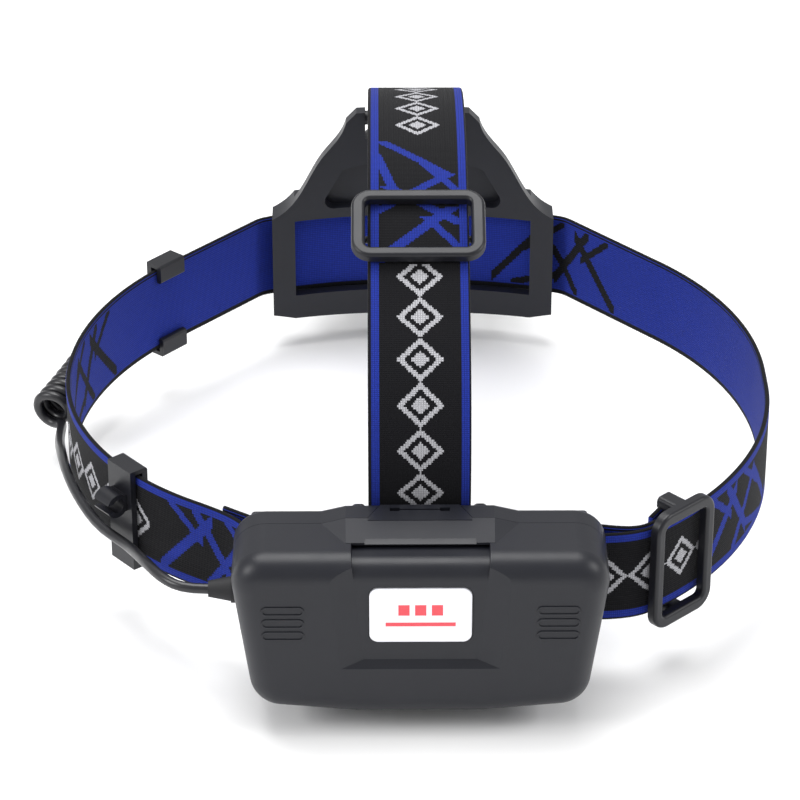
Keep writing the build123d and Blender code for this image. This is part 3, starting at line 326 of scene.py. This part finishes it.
@dataclass(frozen=True)
class WovenWebbing:
    """Elastic jacquard webbing: yarn grain with painted shade between the yarns, blue borders,
    branching lines and a white motif.
    """

    name: str
    side: Side
    white_runs: tuple[Point, ...] = ()
    branch_runs: tuple[Point, ...] = ()
    black: Colour = (0.0036, 0.0036, 0.0046)
    blue: Colour = (0.016, 0.042, 0.42)
    white: Colour = (0.66, 0.66, 0.70)
    half_width: float = 12.5
    yarn: float = 0.52

    def material(self) -> bpy.types.Material:
        """Build the webbing's material from its own UV map, which holds metres.

        Returns:
            The material.
        """
        wiring = Wiring(self.name)
        along, across, _ = wiring.split(wiring.coordinates("UV"))
        along, across = along * 1000.0, (across * 1000.0)
        knit = self.knit(along, across)
        stitch_along = along.steps(self.yarn)
        stitch_across = across.steps(self.yarn * 0.75)
        blue, white = self.patterns(stitch_along, stitch_across)
        fuzz = wiring.noise(0.0006, 3.0)
        cloud = wiring.noise(0.018, 3.0)
        colour = wiring.mix(blue, self.black, self.blue)
        colour = wiring.mix(white, colour, self.white)
        # Painted shade: darkens the colour in the knit's valleys between the yarns, plus random
        # fuzz and cloud tone.
        knit_shade_and_tone = (1.0 - knit) * 0.55 + (1.0 - fuzz) * 0.25 + cloud * 0.1
        colour = wiring.mix(knit_shade_and_tone, colour, (0.004, 0.004, 0.006))
        wiring.bump(knit * 0.8 + fuzz * 0.35 + (blue + white) * 0.15, 0.7, 0.00022)
        return wiring.dress(
            Base_Color=colour,
            Roughness=fuzz * 0.1 + 0.8,
            Specular_IOR_Level=0.15,
            Sheen_Weight=0.04,
            Sheen_Roughness=0.5,
        )

    def knit(self, along: Value, across: Value) -> Value:
        """Height of the yarns, crossing on two diagonals."""
        rise = (along + across * 0.8).wave(self.yarn * 1.9)
        fall = (along - across * 0.8).wave(self.yarn * 1.9)
        cord = across.wave(self.yarn * 1.6)
        return abs(rise * 0.5 + fall * 0.5) * 0.7 + abs(cord) * 0.3

    def patterns(self, along: Value, across: Value) -> tuple[Value, Value]:
        """Masks of the blue and the white yarn.

        Args:
            along: millimetres along the strap, in whole stitches.
            across: millimetres from its middle, in whole stitches.

        Returns:
            The blue mask and the white mask.
        """
        branches = self.runs(along, across, self.branch_runs, self.branch)
        if self.side is Side.INNER:
            field = abs(across) < self.half_width - 1.5
            return field * (1.0 - branches), branches * 0.0
        border = abs(abs(across) - (self.half_width - 1.75)) < 0.95
        white = self.runs(along, across, self.white_runs, self.motif)
        return border.either(branches), white

    def runs(
        self,
        along: Value,
        across: Value,
        spans: Sequence[Point],
        pattern: Callable[[Value, Value], Value],
    ) -> Value:
        """Put one pattern on some stretches of the strap."""
        total = along * 0.0
        for start, end in spans:
            total = total.either(pattern(along - start, across) * along.inside(start, end))
        return total

    def branch(self, along: Value, across: Value) -> Value:
        """Branching lines that repeat along the strap."""
        place = along.wrap(44.0)
        total = place * 0.0
        for stroke in BRANCHES:
            total = total.either(stroke.mask(place, across))
        return total * (abs(across) < self.half_width - 1.6)

    def motif(self, along: Value, across: Value) -> Value:
        """White row of lozenges, each with a solid core."""
        rise = abs(along.wrap(11.0) - 5.5) * 1.06 + abs(across)
        return rise.inside(4.1, 5.8).either(rise < 2.3)


@dataclass(frozen=True)
class LeadJacket:
    """Smooth soft jacket of the lead."""

    name: str = "lead_jacket"

    def material(self) -> bpy.types.Material:
        """Build the jacket."""
        wiring = Wiring(self.name)
        cloud = wiring.noise(0.006, 4.0)
        wiring.bump(wiring.noise(0.0012, 3.0), 0.25, 0.00004)
        return wiring.dress(
            Base_Color=wiring.mix(cloud, (0.008, 0.008, 0.010), (0.016, 0.016, 0.02)),
            Roughness=cloud * 0.14 + 0.26,
        )


@dataclass(frozen=True)
class BadgeFace:
    """Glossy white plate with three plain level marks and a thin rule."""

    centre: Point
    name: str = "badge_face"

    def material(self) -> bpy.types.Material:
        """Build the plate."""
        wiring = Wiring(self.name)
        x, _, z = wiring.split(wiring.coordinates())
        x, z = x * 1000.0 - self.centre[0], z * 1000.0 - self.centre[1]
        marks = (abs(abs(x) - 4.0).maths("MINIMUM", abs(x)) < 1.35) * (abs(z - 1.6) < 1.5)
        rule = (abs(x) < 8.4) * (abs(z + 2.4) < 0.55)
        ink = marks.either(rule)
        cloud = wiring.noise(0.01, 3.0)
        return wiring.dress(
            Base_Color=wiring.mix(ink, (0.87, 0.875, 0.93), (0.80, 0.045, 0.07)),
            Roughness=cloud * 0.08 + 0.12,
            Coat_Weight=0.5,
        )


@dataclass(frozen=True)
class Metal:
    """Bare, plated or anodised metal with fine turning marks."""

    name: str
    colour: Colour
    roughness: float
    metallic: float = 1.0

    def material(self) -> bpy.types.Material:
        """Build the metal."""
        wiring = Wiring(self.name)
        cloud = wiring.noise(0.01, 4.0)
        fine = wiring.noise(0.0004, 2.0)
        darker = tuple(c * 0.72 for c in self.colour)
        wiring.bump(fine, 0.3, 0.00002)
        return wiring.dress(
            Base_Color=wiring.mix(cloud, self.colour, darker),
            Roughness=fine * 0.1 + (self.roughness - 0.05),
            Metallic=self.metallic,
        )


@dataclass(frozen=True)
class ClearLens:
    """Clear moulded lens."""

    name: str = "clear_lens"

    def material(self) -> bpy.types.Material:
        """Build the lens."""
        wiring = Wiring(self.name)
        haze = wiring.noise(0.004, 3.0)
        return wiring.dress(
            Base_Color=wiring.mix(haze, (0.93, 0.95, 0.97), (0.97, 0.98, 1.0)),
            Roughness=haze * 0.03 + 0.02,
            Transmission_Weight=0.92,
            IOR=1.49,
        )


@dataclass(frozen=True)
class CircuitBoard:
    """Solder-masked board with copper runs showing through."""

    name: str = "circuit_board"

    def material(self) -> bpy.types.Material:
        """Build the board."""
        wiring = Wiring(self.name)
        runs = wiring.noise(0.003, 0.0) > 0.52
        return wiring.dress(
            Base_Color=wiring.mix(runs, (0.01, 0.10, 0.035), (0.02, 0.20, 0.06)),
            Roughness=runs * 0.1 + 0.3,
            Coat_Weight=0.4,
        )


# ---- Webbing ---------------------------------------------------------------------------


def on_circle(centre: Point, radius: float, angle: float) -> Point:
    """Point of a circle, the angle in degrees."""
    return (centre[0] + radius * cos(radians(angle)), centre[1] + radius * sin(radians(angle)))


def heading(angle: float) -> Point:
    """Direction of anticlockwise travel at an angle of a circle."""
    return (-sin(radians(angle)), cos(radians(angle)))


def span(start: Point, end: Point) -> float:
    """Distance between two points."""
    return hypot(end[0] - start[0], end[1] - start[1])


def corner_arc(
    before: Point, corner: Point, after: Point, radius: float
) -> tuple[Point, float, float]:
    """Arc that rounds a corner between two straight runs.

    Args:
        before: where the first run starts.
        corner: where the runs meet.
        after: where the second run ends.
        radius: radius of the arc.

    Returns:
        The arc's centre, its start angle and its turn, in degrees.
    """
    middle = Vector(corner)
    back, ahead = (Vector(before) - middle).normalized(), (Vector(after) - middle).normalized()
    opening = back.angle(ahead)
    centre = middle + (back + ahead).normalized() * (radius / sin(opening / 2))
    spoke = middle + back * (radius / tan(opening / 2)) - centre
    side = -1 if back.x * ahead.y - back.y * ahead.x > 0 else 1
    return (centre.x, centre.y), degrees(atan2(spoke.y, spoke.x)), side * degrees(pi - opening)


@dataclass
class WebbingPath:
    """Line of a webbing's middle in its own plane, in millimetres."""

    step: float = 1.6
    turn: float = 10.0
    least: float = 0.02
    points: list[Point] = field(default_factory=list)
    marks: dict[str, float] = field(default_factory=dict)

    @property
    def length(self) -> float:
        """Length so far."""
        return sum(span(a, b) for a, b in zip(self.points, self.points[1:]))

    def mark(self, name: str) -> None:
        """Name the length reached so far."""
        self.marks[name] = self.length

    def reach(self, point: Point) -> None:
        """Add one point, unless the line is already there."""
        if not self.points or span(self.points[-1], point) > self.least:
            self.points.append(point)

    def arc(self, centre: Point, radius: float, start: float, end: float) -> None:
        """Follow a circle between two angles in degrees."""
        sweep = abs(end - start)
        count = max(2, ceil(max(sweep / self.turn, radians(sweep) * radius / self.step)))
        for index in range(count + 1):
            self.reach(on_circle(centre, radius, start + (end - start) * index / count))

    def line(self, end: Point) -> None:
        """Run straight to a point."""
        start = self.points[-1]
        count = max(1, ceil(span(start, end) / self.step))
        for index in range(1, count + 1):
            share = index / count
            self.reach(tuple(start[k] + (end[k] - start[k]) * share for k in (0, 1)))

    def ease(self, end: Point, leaving: Point, arriving: Point) -> None:
        """Bend smoothly to a point.

        Args:
            end: where the bend ends.
            leaving: direction at its start.
            arriving: direction at its end.
        """
        start = self.points[-1]
        reach = span(start, end)
        first = reach / hypot(*leaving)
        last = reach / hypot(*arriving)
        count = max(4, ceil(reach / self.step * 1.2))
        for index in range(1, count + 1):
            t = index / count
            a, b = 2 * t**3 - 3 * t**2 + 1, t**3 - 2 * t**2 + t
            c, d = 3 * t**2 - 2 * t**3, t**3 - t**2
            self.reach(
                tuple(
                    a * start[k] + b * first * leaving[k] + c * end[k] + d * last * arriving[k]
                    for k in (0, 1)
                )
            )

    def corner(self, corner: Point, end: Point, radius: float) -> None:
        """Round a corner at a radius on the way to a point."""
        centre, start, turn = corner_arc(self.points[-1], corner, end, radius)
        self.line(on_circle(centre, radius, start))
        self.arc(centre, radius, start, start + turn)
        self.line(end)


@dataclass
class Webbing:
    """Elastic webbing made along a path: a rounded band with two woven faces."""

    name: str
    path: WebbingPath
    origin: Vector
    first: Vector
    second: Vector
    across: Vector
    outer_sign: float
    width: float = 25.0
    thickness: float = 1.3
    columns: int = 14

    def section(self) -> list[tuple[float, float, int]]:
        """Loop round the webbing: across, outwards, and the face it lies on."""
        half, edge = self.width / 2, self.thickness / 2
        woven = self.width - 2 * edge
        flat = [-(half - edge) + woven * k / self.columns for k in range(self.columns + 1)]
        outer = [(v, edge, Side.OUTER.value) for v in flat]
        bends = (pi / 4, pi / 2, 3 * pi / 4)
        right = [(half - edge + edge * sin(a), edge * cos(a), Side.OUTER.value) for a in bends]
        inner = [(-v, -edge, Side.INNER.value) for v in flat]
        left = [(-v, -n, side) for v, n, side in right]
        return [*outer, *right, *inner, *left, outer[0]]

    def build(
        self, finishes: Sequence[bpy.types.Material], body: Body, *nodes: str
    ) -> bpy.types.Object:
        """Make the webbing and put it in the scene.

        Args:
            finishes: materials of the outer and the inner face.
            body: the body that it rides on.
            nodes: the frame's nodes that it stands for.

        Returns:
            The piece.
        """
        loop = self.section()
        points = self.path.points
        mesh = bmesh.new()
        bmesh.ops.create_grid(mesh, x_segments=len(points) - 1, y_segments=len(loop) - 1, size=1.0)
        columns = sorted({round(v.co.x, 5) for v in mesh.verts})
        rows = sorted({round(v.co.y, 5) for v in mesh.verts})
        column_of = {x: k for k, x in enumerate(columns)}
        row_of = {y: k for k, y in enumerate(rows)}
        lengths = [0.0]
        for a, b in zip(points, points[1:]):
            lengths.append(lengths[-1] + span(a, b))
        chart = mesh.loops.layers.uv.new("UVMap")
        places = {v: (column_of[round(v.co.x, 5)], row_of[round(v.co.y, 5)]) for v in mesh.verts}
        for face in mesh.faces:
            low = min(places[corner.vert][1] for corner in face.loops)
            face.material_index = loop[low][2] if loop[low][2] == loop[low + 1][2] else 0
            face.smooth = True
            for corner in face.loops:
                column, row = places[corner.vert]
                corner[chart].uv = (lengths[column] * MM, loop[row][0] * MM)
        for vert, (column, row) in places.items():
            vert.co = self.place(column, loop[row][0], loop[row][1])
        bmesh.ops.remove_doubles(mesh, verts=mesh.verts, dist=1e-6)
        bmesh.ops.holes_fill(mesh, edges=[e for e in mesh.edges if e.is_boundary], sides=0)
        bmesh.ops.recalc_face_normals(mesh, faces=mesh.faces)
        piece = new_piece(self.name, mesh, finishes)
        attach(piece, body.value)
        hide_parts(*nodes)
        return piece

    def place(self, column: int, across: float, out: float) -> Vector:
        """Point of the webbing in metres."""
        points = self.path.points
        before, after = points[max(0, column - 1)], points[min(len(points) - 1, column + 1)]
        along = Vector((after[0] - before[0], after[1] - before[1])).normalized()
        normal = Vector((along.y, -along.x)) * self.outer_sign
        a = points[column][0] + normal.x * out
        b = points[column][1] + normal.y * out
        return (self.origin + self.first * a + self.second * b + self.across * across) * MM


def new_piece(
    name: str, mesh: bmesh.types.BMesh, finishes: Sequence[bpy.types.Material]
) -> bpy.types.Object:
    """Turn a bmesh into an object of the scene."""
    data = bpy.data.meshes.new(name)
    mesh.to_mesh(data)
    mesh.free()
    for finish in finishes:
        data.materials.append(finish)
    piece = bpy.data.objects.new(name, data)
    bpy.context.scene.collection.objects.link(piece)
    return piece


@dataclass
class Straps:
    """Head band, top strap and the sewn ends at their sliders; lengths in millimetres."""

    step: float = 1.7
    ring_r: float = 92.0
    left_r: float = 80.0
    left_x: float = -12.0
    right_r: float = 91.3
    right_centre: Point = (0.7, -8.0)
    right_join: float = -51.5
    band_r: float = 134.5
    band_half: float = 17.2
    bracket_y: float = -38.0
    bend_r: float = 8.0
    bend_run: float = 4.0
    wrap_r: float = 2.5
    bar: Point = (39.0, -80.55)
    top_bar: Point = (-79.9, 16.0)
    crown_r: float = 100.0
    crown_z: float = -16.5
    crown_near: float = 35.0
    shoulder_r: float = 42.0
    front_bar: Point = (93.6, 42.0)
    front_wrap_r: float = 3.0
    head_glide: float = -46.5
    top_glide: float = 24.5
    lap: float = 5.5
    knee_turn: float = 40.0
    shoulder_x: float = -85.0
    tab_wrap_r: float = 1.8
    tab_drop: float = 3.5

    def head_path(self) -> WebbingPath:
        """Path of the head band, from its sewn layer at the slider all the way round."""
        path = WebbingPath()
        origin, bracket, left = (0.0, 0.0), (0.0, self.bracket_y), (self.left_x, 0.0)
        bar, mirror_bar = self.bar, (-self.bar[0], self.bar[1])
        arc_end = on_circle(bracket, self.band_r, 90 - self.band_half)
        run = heading(90 - self.band_half)
        bend = (arc_end[0] - run[0] * self.bend_run, arc_end[1] - run[1] * self.bend_run)
        leave = degrees(atan2(bend[1], bend[0]) - acos(self.ring_r / hypot(*bend)))
        inner = self.right_r - self.step
        join = heading(self.right_join)
        lap_end = self.head_glide - degrees(self.lap / inner)
        path.arc(self.right_centre, inner, lap_end, self.right_join)
        path.ease(on_circle(bar, self.wrap_r, -270), (-join[0], -join[1]), (-1.0, 0.0))
        path.arc(bar, self.wrap_r, -270, -90)
        path.mark("right")
        path.ease(on_circle(self.right_centre, self.right_r, self.right_join), (1.0, 0.0), join)
        path.arc(self.right_centre, self.right_r, self.right_join, 0)
        path.line((self.ring_r, 0.0))
        path.arc(origin, self.ring_r, 0, leave)
        path.corner(bend, arc_end, self.bend_r)
        path.arc(bracket, self.band_r, 90 - self.band_half, 90 + self.band_half)
        path.corner((-bend[0], bend[1]), on_circle(origin, self.ring_r, 180 - leave), self.bend_r)
        path.mark("front_left")
        path.arc(origin, self.ring_r, 180 - leave, 180)
        path.mark("left")
        path.arc(left, self.left_r, 180, 236)
        path.ease(on_circle(mirror_bar, self.wrap_r, 200), heading(236), heading(200))
        path.arc(mirror_bar, self.wrap_r, 200, 390)
        path.ease((-48.3, -69.4), heading(30), (-0.8, 0.6))
        return path

    def top_path(self) -> WebbingPath:
        """Path of the top strap, from its sewn layer at the slider to the forehead."""
        path = WebbingPath()
        crown = (0.0, self.crown_z)
        near = on_circle(crown, self.crown_r, 90 + self.crown_near)
        drop = (near[0] - self.shoulder_x) / tan(radians(90 - self.crown_near))
        shoulder = (self.shoulder_x, near[1] - drop)
        reach = hypot(self.front_bar[0], self.front_bar[1] - self.crown_z)
        bearing = degrees(atan2(self.front_bar[1] - self.crown_z, self.front_bar[0]))
        far = bearing + degrees(acos((self.crown_r - self.front_wrap_r) / reach))
        inner = self.crown_r - self.step
        steep = 90 + self.crown_near
        path.arc(crown, inner, 90 + self.top_glide + degrees(self.lap / inner), steep)
        bar_outside = (self.top_bar[0] - self.wrap_r, self.top_bar[1])
        bend, _, _ = corner_arc(near, shoulder, bar_outside, self.shoulder_r)
        path.line(on_circle(bend, self.shoulder_r - self.step, steep))
        path.arc(bend, self.shoulder_r - self.step, steep, steep + self.knee_turn)
        bar_inside = (self.top_bar[0] + self.wrap_r, self.top_bar[1])
        path.ease(bar_inside, heading(steep + self.knee_turn), (0.0, -1.0))
        path.arc(self.top_bar, self.wrap_r, 0, -180)
        path.mark("box")
        path.corner(shoulder, near, self.shoulder_r)
        path.mark("crown")
        path.arc(crown, self.crown_r, 90 + self.crown_near, far)
        path.line(on_circle(self.front_bar, self.front_wrap_r, far))
        path.arc(self.front_bar, self.front_wrap_r, far, far - 185)
        path.line(on_circle(crown, self.crown_r - 1.5 * self.step, far + 7))
        return path

    def end_path(self) -> WebbingPath:
        """Path of a sewn end round a slider's middle bar, from above the bar to below it."""
        path = WebbingPath(step=0.8)
        path.reach((-5.2, self.tab_wrap_r - self.tab_drop))
        path.line((0.0, self.tab_wrap_r - self.tab_drop))
        path.arc((0.0, -self.tab_drop), self.tab_wrap_r, 90, -90)
        path.line((-5.2, -self.tab_drop - 0.4))
        return path

    def build(self) -> None:
        """Make every webbing of the harness."""
        self.build_head_band()
        self.build_top_strap()
        self.build_ends()

    def build_head_band(self) -> None:
        """Make the head band."""
        path = self.head_path()
        right, left, front = path.marks["right"], path.marks["left"], path.marks["front_left"]
        whites = ((right + 1, right + 36), (right + 94, right + 170), (left - 34, left + 64))
        branches = ((right + 37, right + 83), (right + 174, right + 218), (left + 68, left + 112))
        insides = ((right + 192, right + 236), (front + 26, front + 70), (left - 2, left + 42))
        outer = WovenWebbing("head_webbing_outer", Side.OUTER, whites, branches)
        inner = WovenWebbing("head_webbing_inner", Side.INNER, (), insides)
        band = Webbing(
            "head_webbing",
            path,
            Vector((0, 0, 0)),
            Vector((1, 0, 0)),
            Vector((0, 1, 0)),
            Vector((0, 0, 1)),
            1.0,
        )
        piece = band.build((outer.material(), inner.material()), Body.HARNESS, "head_strap")
        path.length * MM
        log.info("head band, %.0f mm of webbing", path.length)

    def build_top_strap(self) -> None:
        """Make the top strap."""
        path = self.top_path()
        box, crown = path.marks["box"], path.marks["crown"]
        glide = crown + radians(self.crown_near - self.top_glide) * self.crown_r
        whites = ((box + 3, glide - 11), (glide + 36, glide + 122))
        branches = ((glide - 10, glide + 34), (glide + 124, glide + 160))
        outer = WovenWebbing("top_webbing_outer", Side.OUTER, whites, branches)
        inner = WovenWebbing("top_webbing_inner", Side.INNER, (), branches)
        strap = Webbing(
            "top_webbing",
            path,
            Vector((0, 0, 0)),
            Vector((0, 1, 0)),
            Vector((0, 0, 1)),
            Vector((1, 0, 0)),
            -1.0,
        )
        piece = strap.build((outer.material(), inner.material()), Body.HARNESS, "top_strap")
        path.length * MM
        log.info("top strap, %.0f mm of webbing", path.length)

    def build_ends(self) -> None:
        """Make the sewn end at each slider."""
        outer = WovenWebbing("webbing_end_outer", Side.OUTER).material()
        inner = WovenWebbing("webbing_end_inner", Side.INNER).material()
        up = 90 + self.top_glide
        crown = on_circle((0.0, self.crown_z), self.crown_r, up)
        ring = on_circle(self.right_centre, self.right_r, self.head_glide)
        head_out = Vector((*on_circle((0, 0), 1, self.head_glide), 0))
        head_along = Vector((*heading(self.head_glide), 0))
        top_out = Vector((0, *on_circle((0, 0), 1, up)))
        top_along = Vector((0, top_out.z, -top_out.y))
        ends = (
            ("head", Vector((*ring, 0)), head_along, head_out, Body.HEAD_GLIDE),
            ("top", Vector((0, *crown)), top_along, top_out, Body.TOP_GLIDE),
        )
        for strap, origin, along, out, body in ends:
            name, node = f"{strap}_webbing_end", f"{strap}_strap_end"
            end = Webbing(name, self.end_path(), origin, along, out, out.cross(along), -1.0)
            end.build((outer, inner), body, node)
            log.info("%s", name)


# ---- Lead ------------------------------------------------------------------------------


@dataclass
class Lead:
    """Lead from the battery box to the lamp, with its coil; lengths in millimetres."""

    diameter: float = 2.7
    coil_d: float = 11.8
    per_turn: int = 14
    full_turns: int = 12
    coil_near: Vector = field(default_factory=lambda: Vector((-100.5, 20.5, -13.0)))
    coil_far: Vector = field(default_factory=lambda: Vector((-84.8, 52.6, -4.5)))
    rear: tuple[tuple[float, float, float], ...] = (
        (-51.8, -87.85, 0.0),
        (-57.6, -87.85, 0.0),
        (-63.0, -84.3, 0.6),
        (-67.3, -76.8, 0.2),
        (-70.4, -68.2, -2.4),
        (-73.8, -59.4, -4.9),
        (-81.3, -50.5, -5.1),
        (-87.4, -38.0, -4.2),
        (-91.6, -24.5, -4.4),
        (-94.2, -9.5, -7.2),
        (-96.2, 5.5, -12.4),
        (-97.0, 20.0, -15.6),
    )
    front: tuple[tuple[float, float, float], ...] = (
        (-83.2, 52.3, -9.1),
        (-78.0, 59.0, -6.6),
        (-69.6, 68.6, -4.1),
        (-60.7, 80.0, -5.4),
        (-54.8, 90.8, -6.2),
        (-51.9, 100.6, -6.2),
        (-50.2, 109.6, -5.6),
        (-47.3, 117.2, -4.6),
        (-41.5, 121.5, -4.0),
        (-35.0, 121.5, -4.0),
    )

    def turns(self) -> list[Vector]:
        """Points of the coil, from where the rear run meets it to where the front run leaves."""
        axis = (self.coil_far - self.coil_near).normalized()
        start = Vector(self.rear[-1]) - self.coil_near
        finish = Vector(self.front[0]) - self.coil_far
        first = (start - axis * start.dot(axis)).normalized()
        second = axis.cross(first)
        last = atan2(finish.dot(second), finish.dot(first)) % (2 * pi)
        total = 2 * pi * self.full_turns + last
        radius = (self.coil_d - self.diameter) / 2
        length = (self.coil_far - self.coil_near).length - self.diameter
        count = ceil(total / (2 * pi) * self.per_turn)
        points = []
        for index in range(count + 1):
            angle = total * index / count
            climb = self.diameter / 2 + length * index / count
            slack = 0.5 * sin(pi * index / count)
            spoke = first * cos(angle) + second * sin(angle)
            sag = Vector((slack, 0, -slack))
            points.append(self.coil_near + axis * climb + spoke * radius + sag)
        return points

    def build(self, finish: bpy.types.Material) -> None:
        """Make the lead as one smooth spline.

        Args:
            finish: the jacket's material.
        """
        coil = self.turns()
        points = [Vector(p) for p in self.rear[:-1]] + coil + [Vector(p) for p in self.front[1:]]
        curve = bpy.data.curves.new("lead", "CURVE")
        curve.dimensions = "3D"
        curve.bevel_depth = self.diameter / 2 * MM
        curve.bevel_resolution = 3
        curve.resolution_u = 3
        curve.use_fill_caps = True
        spline = curve.splines.new("NURBS")
        spline.points.add(len(points) - 1)
        for slot, point in zip(spline.points, points):
            slot.co = (*(point * MM), 1.0)
        spline.order_u = 3
        spline.use_endpoint_u = True
        curve.materials.append(finish)
        piece = bpy.data.objects.new("lead", curve)
        bpy.context.scene.collection.objects.link(piece)
        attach(piece, Body.HARNESS.value)
        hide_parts("lead_rear", "lead_coil", "lead_front")
        length = sum((b - a).length for a, b in zip(points, points[1:])) * MM
        log.info("lead, %.0f mm", length * 1000)


# ---- Frame's own pieces ----------------------------------------------------------------


@dataclass
class HardParts:
    """Finishes for the pieces whose shape comes from the frame."""

    def dress(self) -> None:
        """Give every carried-over node its finish."""
        shell = MouldedPlastic("charcoal_shell", (0.0075, 0.0082, 0.0125), 0.40)
        trim = MouldedPlastic("black_trim", (0.0070, 0.0074, 0.0105), 0.36)
        rubber = MouldedPlastic("soft_rubber", (0.014, 0.014, 0.016), 0.62, 0.0006)
        nylon = MouldedPlastic("natural_nylon", (0.55, 0.54, 0.50), 0.45)
        wrap = MouldedPlastic("cell_wrap", (0.02, 0.10, 0.32), 0.25, 0.002)
        emitter = MouldedPlastic("emitter_phosphor", (0.85, 0.62, 0.08), 0.35)
        anodised = Metal("black_anodised", (0.035, 0.035, 0.04), 0.34)
        steel = Metal("plated_steel", (0.62, 0.61, 0.59), 0.28)
        board = Metal("board_aluminium", (0.75, 0.75, 0.75), 0.3)
        low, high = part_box("badge_plate")
        middle = (low + high) / 2 / MM
        groups = (
            (shell.material(), ("battery_back", "battery_cover", "front_bracket")),
            (
                trim.material(),
                (
                    "head_strap_slider",
                    "top_strap_slider",
                    "rear_cable_clip",
                    "front_cable_clip",
                    "switch_module",
                ),
            ),
            (
                rubber.material(),
                ("cover_seal", "box_gland", "lamp_gland", "lens_o_ring", "switch_button"),
            ),
            (nylon.material(), ("pivot_sleeve", "tilt_washers")),
            (wrap.material(), ("cell_upper", "cell_lower")),
            (emitter.material(), ("led_emitter",)),
            (anodised.material(), ("lamp_body", "zoom_head", "lens_ring", "rear_cover")),
            (steel.material(), ("cover_hinge_pin", "pivot_screw", "cell_contacts", "cell_springs")),
            (board.material(), ("led_board",)),
            (CircuitBoard().material(), ("battery_board", "driver_board")),
            (ClearLens().material(), ("lens",)),
            (BadgeFace((middle.x, middle.z)).material(), ("badge_plate",)),
        )
        for finish, nodes in groups:
            for node in nodes:
                data = bpy.data.objects[node].data
                data.materials.clear()
                data.materials.append(finish)
            log.info("%s on %d nodes", finish.name, len(nodes))


# ---- Studio ----------------------------------------------------------------------------


@dataclass(frozen=True)
class Softbox:
    """Area light aimed at a point."""

    name: str
    place: tuple[float, float, float]
    size: float
    watts: float

    def build(self, target: Vector) -> None:
        """Hang the light and aim it."""
        light = bpy.data.lights.new(self.name, "AREA")
        light.shape = "SQUARE"
        light.size = self.size
        light.energy = self.watts
        lamp = bpy.data.objects.new(self.name, light)
        lamp.location = self.place
        lamp.rotation_euler = (target - lamp.location).to_track_quat("-Z", "Y").to_euler()
        bpy.context.scene.collection.objects.link(lamp)


@dataclass
class Studio:
    """White floor, soft light and the camera."""

    floor_z: float
    lens_mm: float = 157.5
    camera_at: tuple[float, float, float] = (-0.0096, -0.8102, 0.4649)
    pitch: float = 29.69
    yaw: float = 0.38
    lights: tuple[Softbox, ...] = (
        Softbox("overhead_softbox", (-0.15, 0.25, 1.3), 0.9, 16.0),
        Softbox("left_softbox", (-1.1, -0.5, 0.7), 0.5, 8.0),
        Softbox("right_softbox", (1.2, -0.3, 0.8), 0.5, 7.0),
    )

    def build(self) -> None:
        """Set up everything round the object."""
        self.floor()
        self.world()
        for light in self.lights:
            light.build(Vector((0, 0, 0.02)))
        self.camera()

    def floor(self) -> None:
        """Lay the pale floor."""
        wiring = Wiring("pale_floor")
        mesh = bmesh.new()
        bmesh.ops.create_grid(mesh, x_segments=1, y_segments=1, size=4.0)
        bmesh.ops.translate(mesh, verts=mesh.verts, vec=(0, 0, self.floor_z))
        sheet = new_piece(
            "floor", mesh, (wiring.dress(Base_Color=(0.93, 0.93, 0.93), Roughness=0.9),)
        )
        sheet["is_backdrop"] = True

    def world(self) -> None:
        """Light the room evenly."""
        world = bpy.data.worlds.new("studio_white")
        world.use_nodes = True
        background = world.node_tree.nodes["Background"]
        background.inputs["Color"].default_value = (1.0, 1.0, 1.0, 1.0)
        background.inputs["Strength"].default_value = 0.62
        bpy.context.scene.world = world
        bpy.context.scene.view_settings.view_transform = "Standard"

    def camera(self) -> None:
        """Place the camera behind and above the battery box."""
        data = bpy.data.cameras.new("camera")
        data.lens = self.lens_mm
        data.sensor_width = 36.0
        data.clip_end = 20.0
        camera = bpy.data.objects.new("camera", data)
        camera.location = self.camera_at
        camera.rotation_euler = (radians(90 - self.pitch), 0.0, radians(-self.yaw))
        bpy.context.scene.collection.objects.link(camera)
        bpy.context.scene.camera = camera


def main() -> None:
    """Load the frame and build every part."""
    logging.basicConfig(level=logging.INFO, format="%(message)s")
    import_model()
    frame_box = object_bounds()
    low, _ = frame_box
    Studio(floor_z=low.z - 0.0005).build()
    Lead().build(LeadJacket().material())
    HardParts().dress()
    Straps().build()


if __name__ == "__main__":
    main()
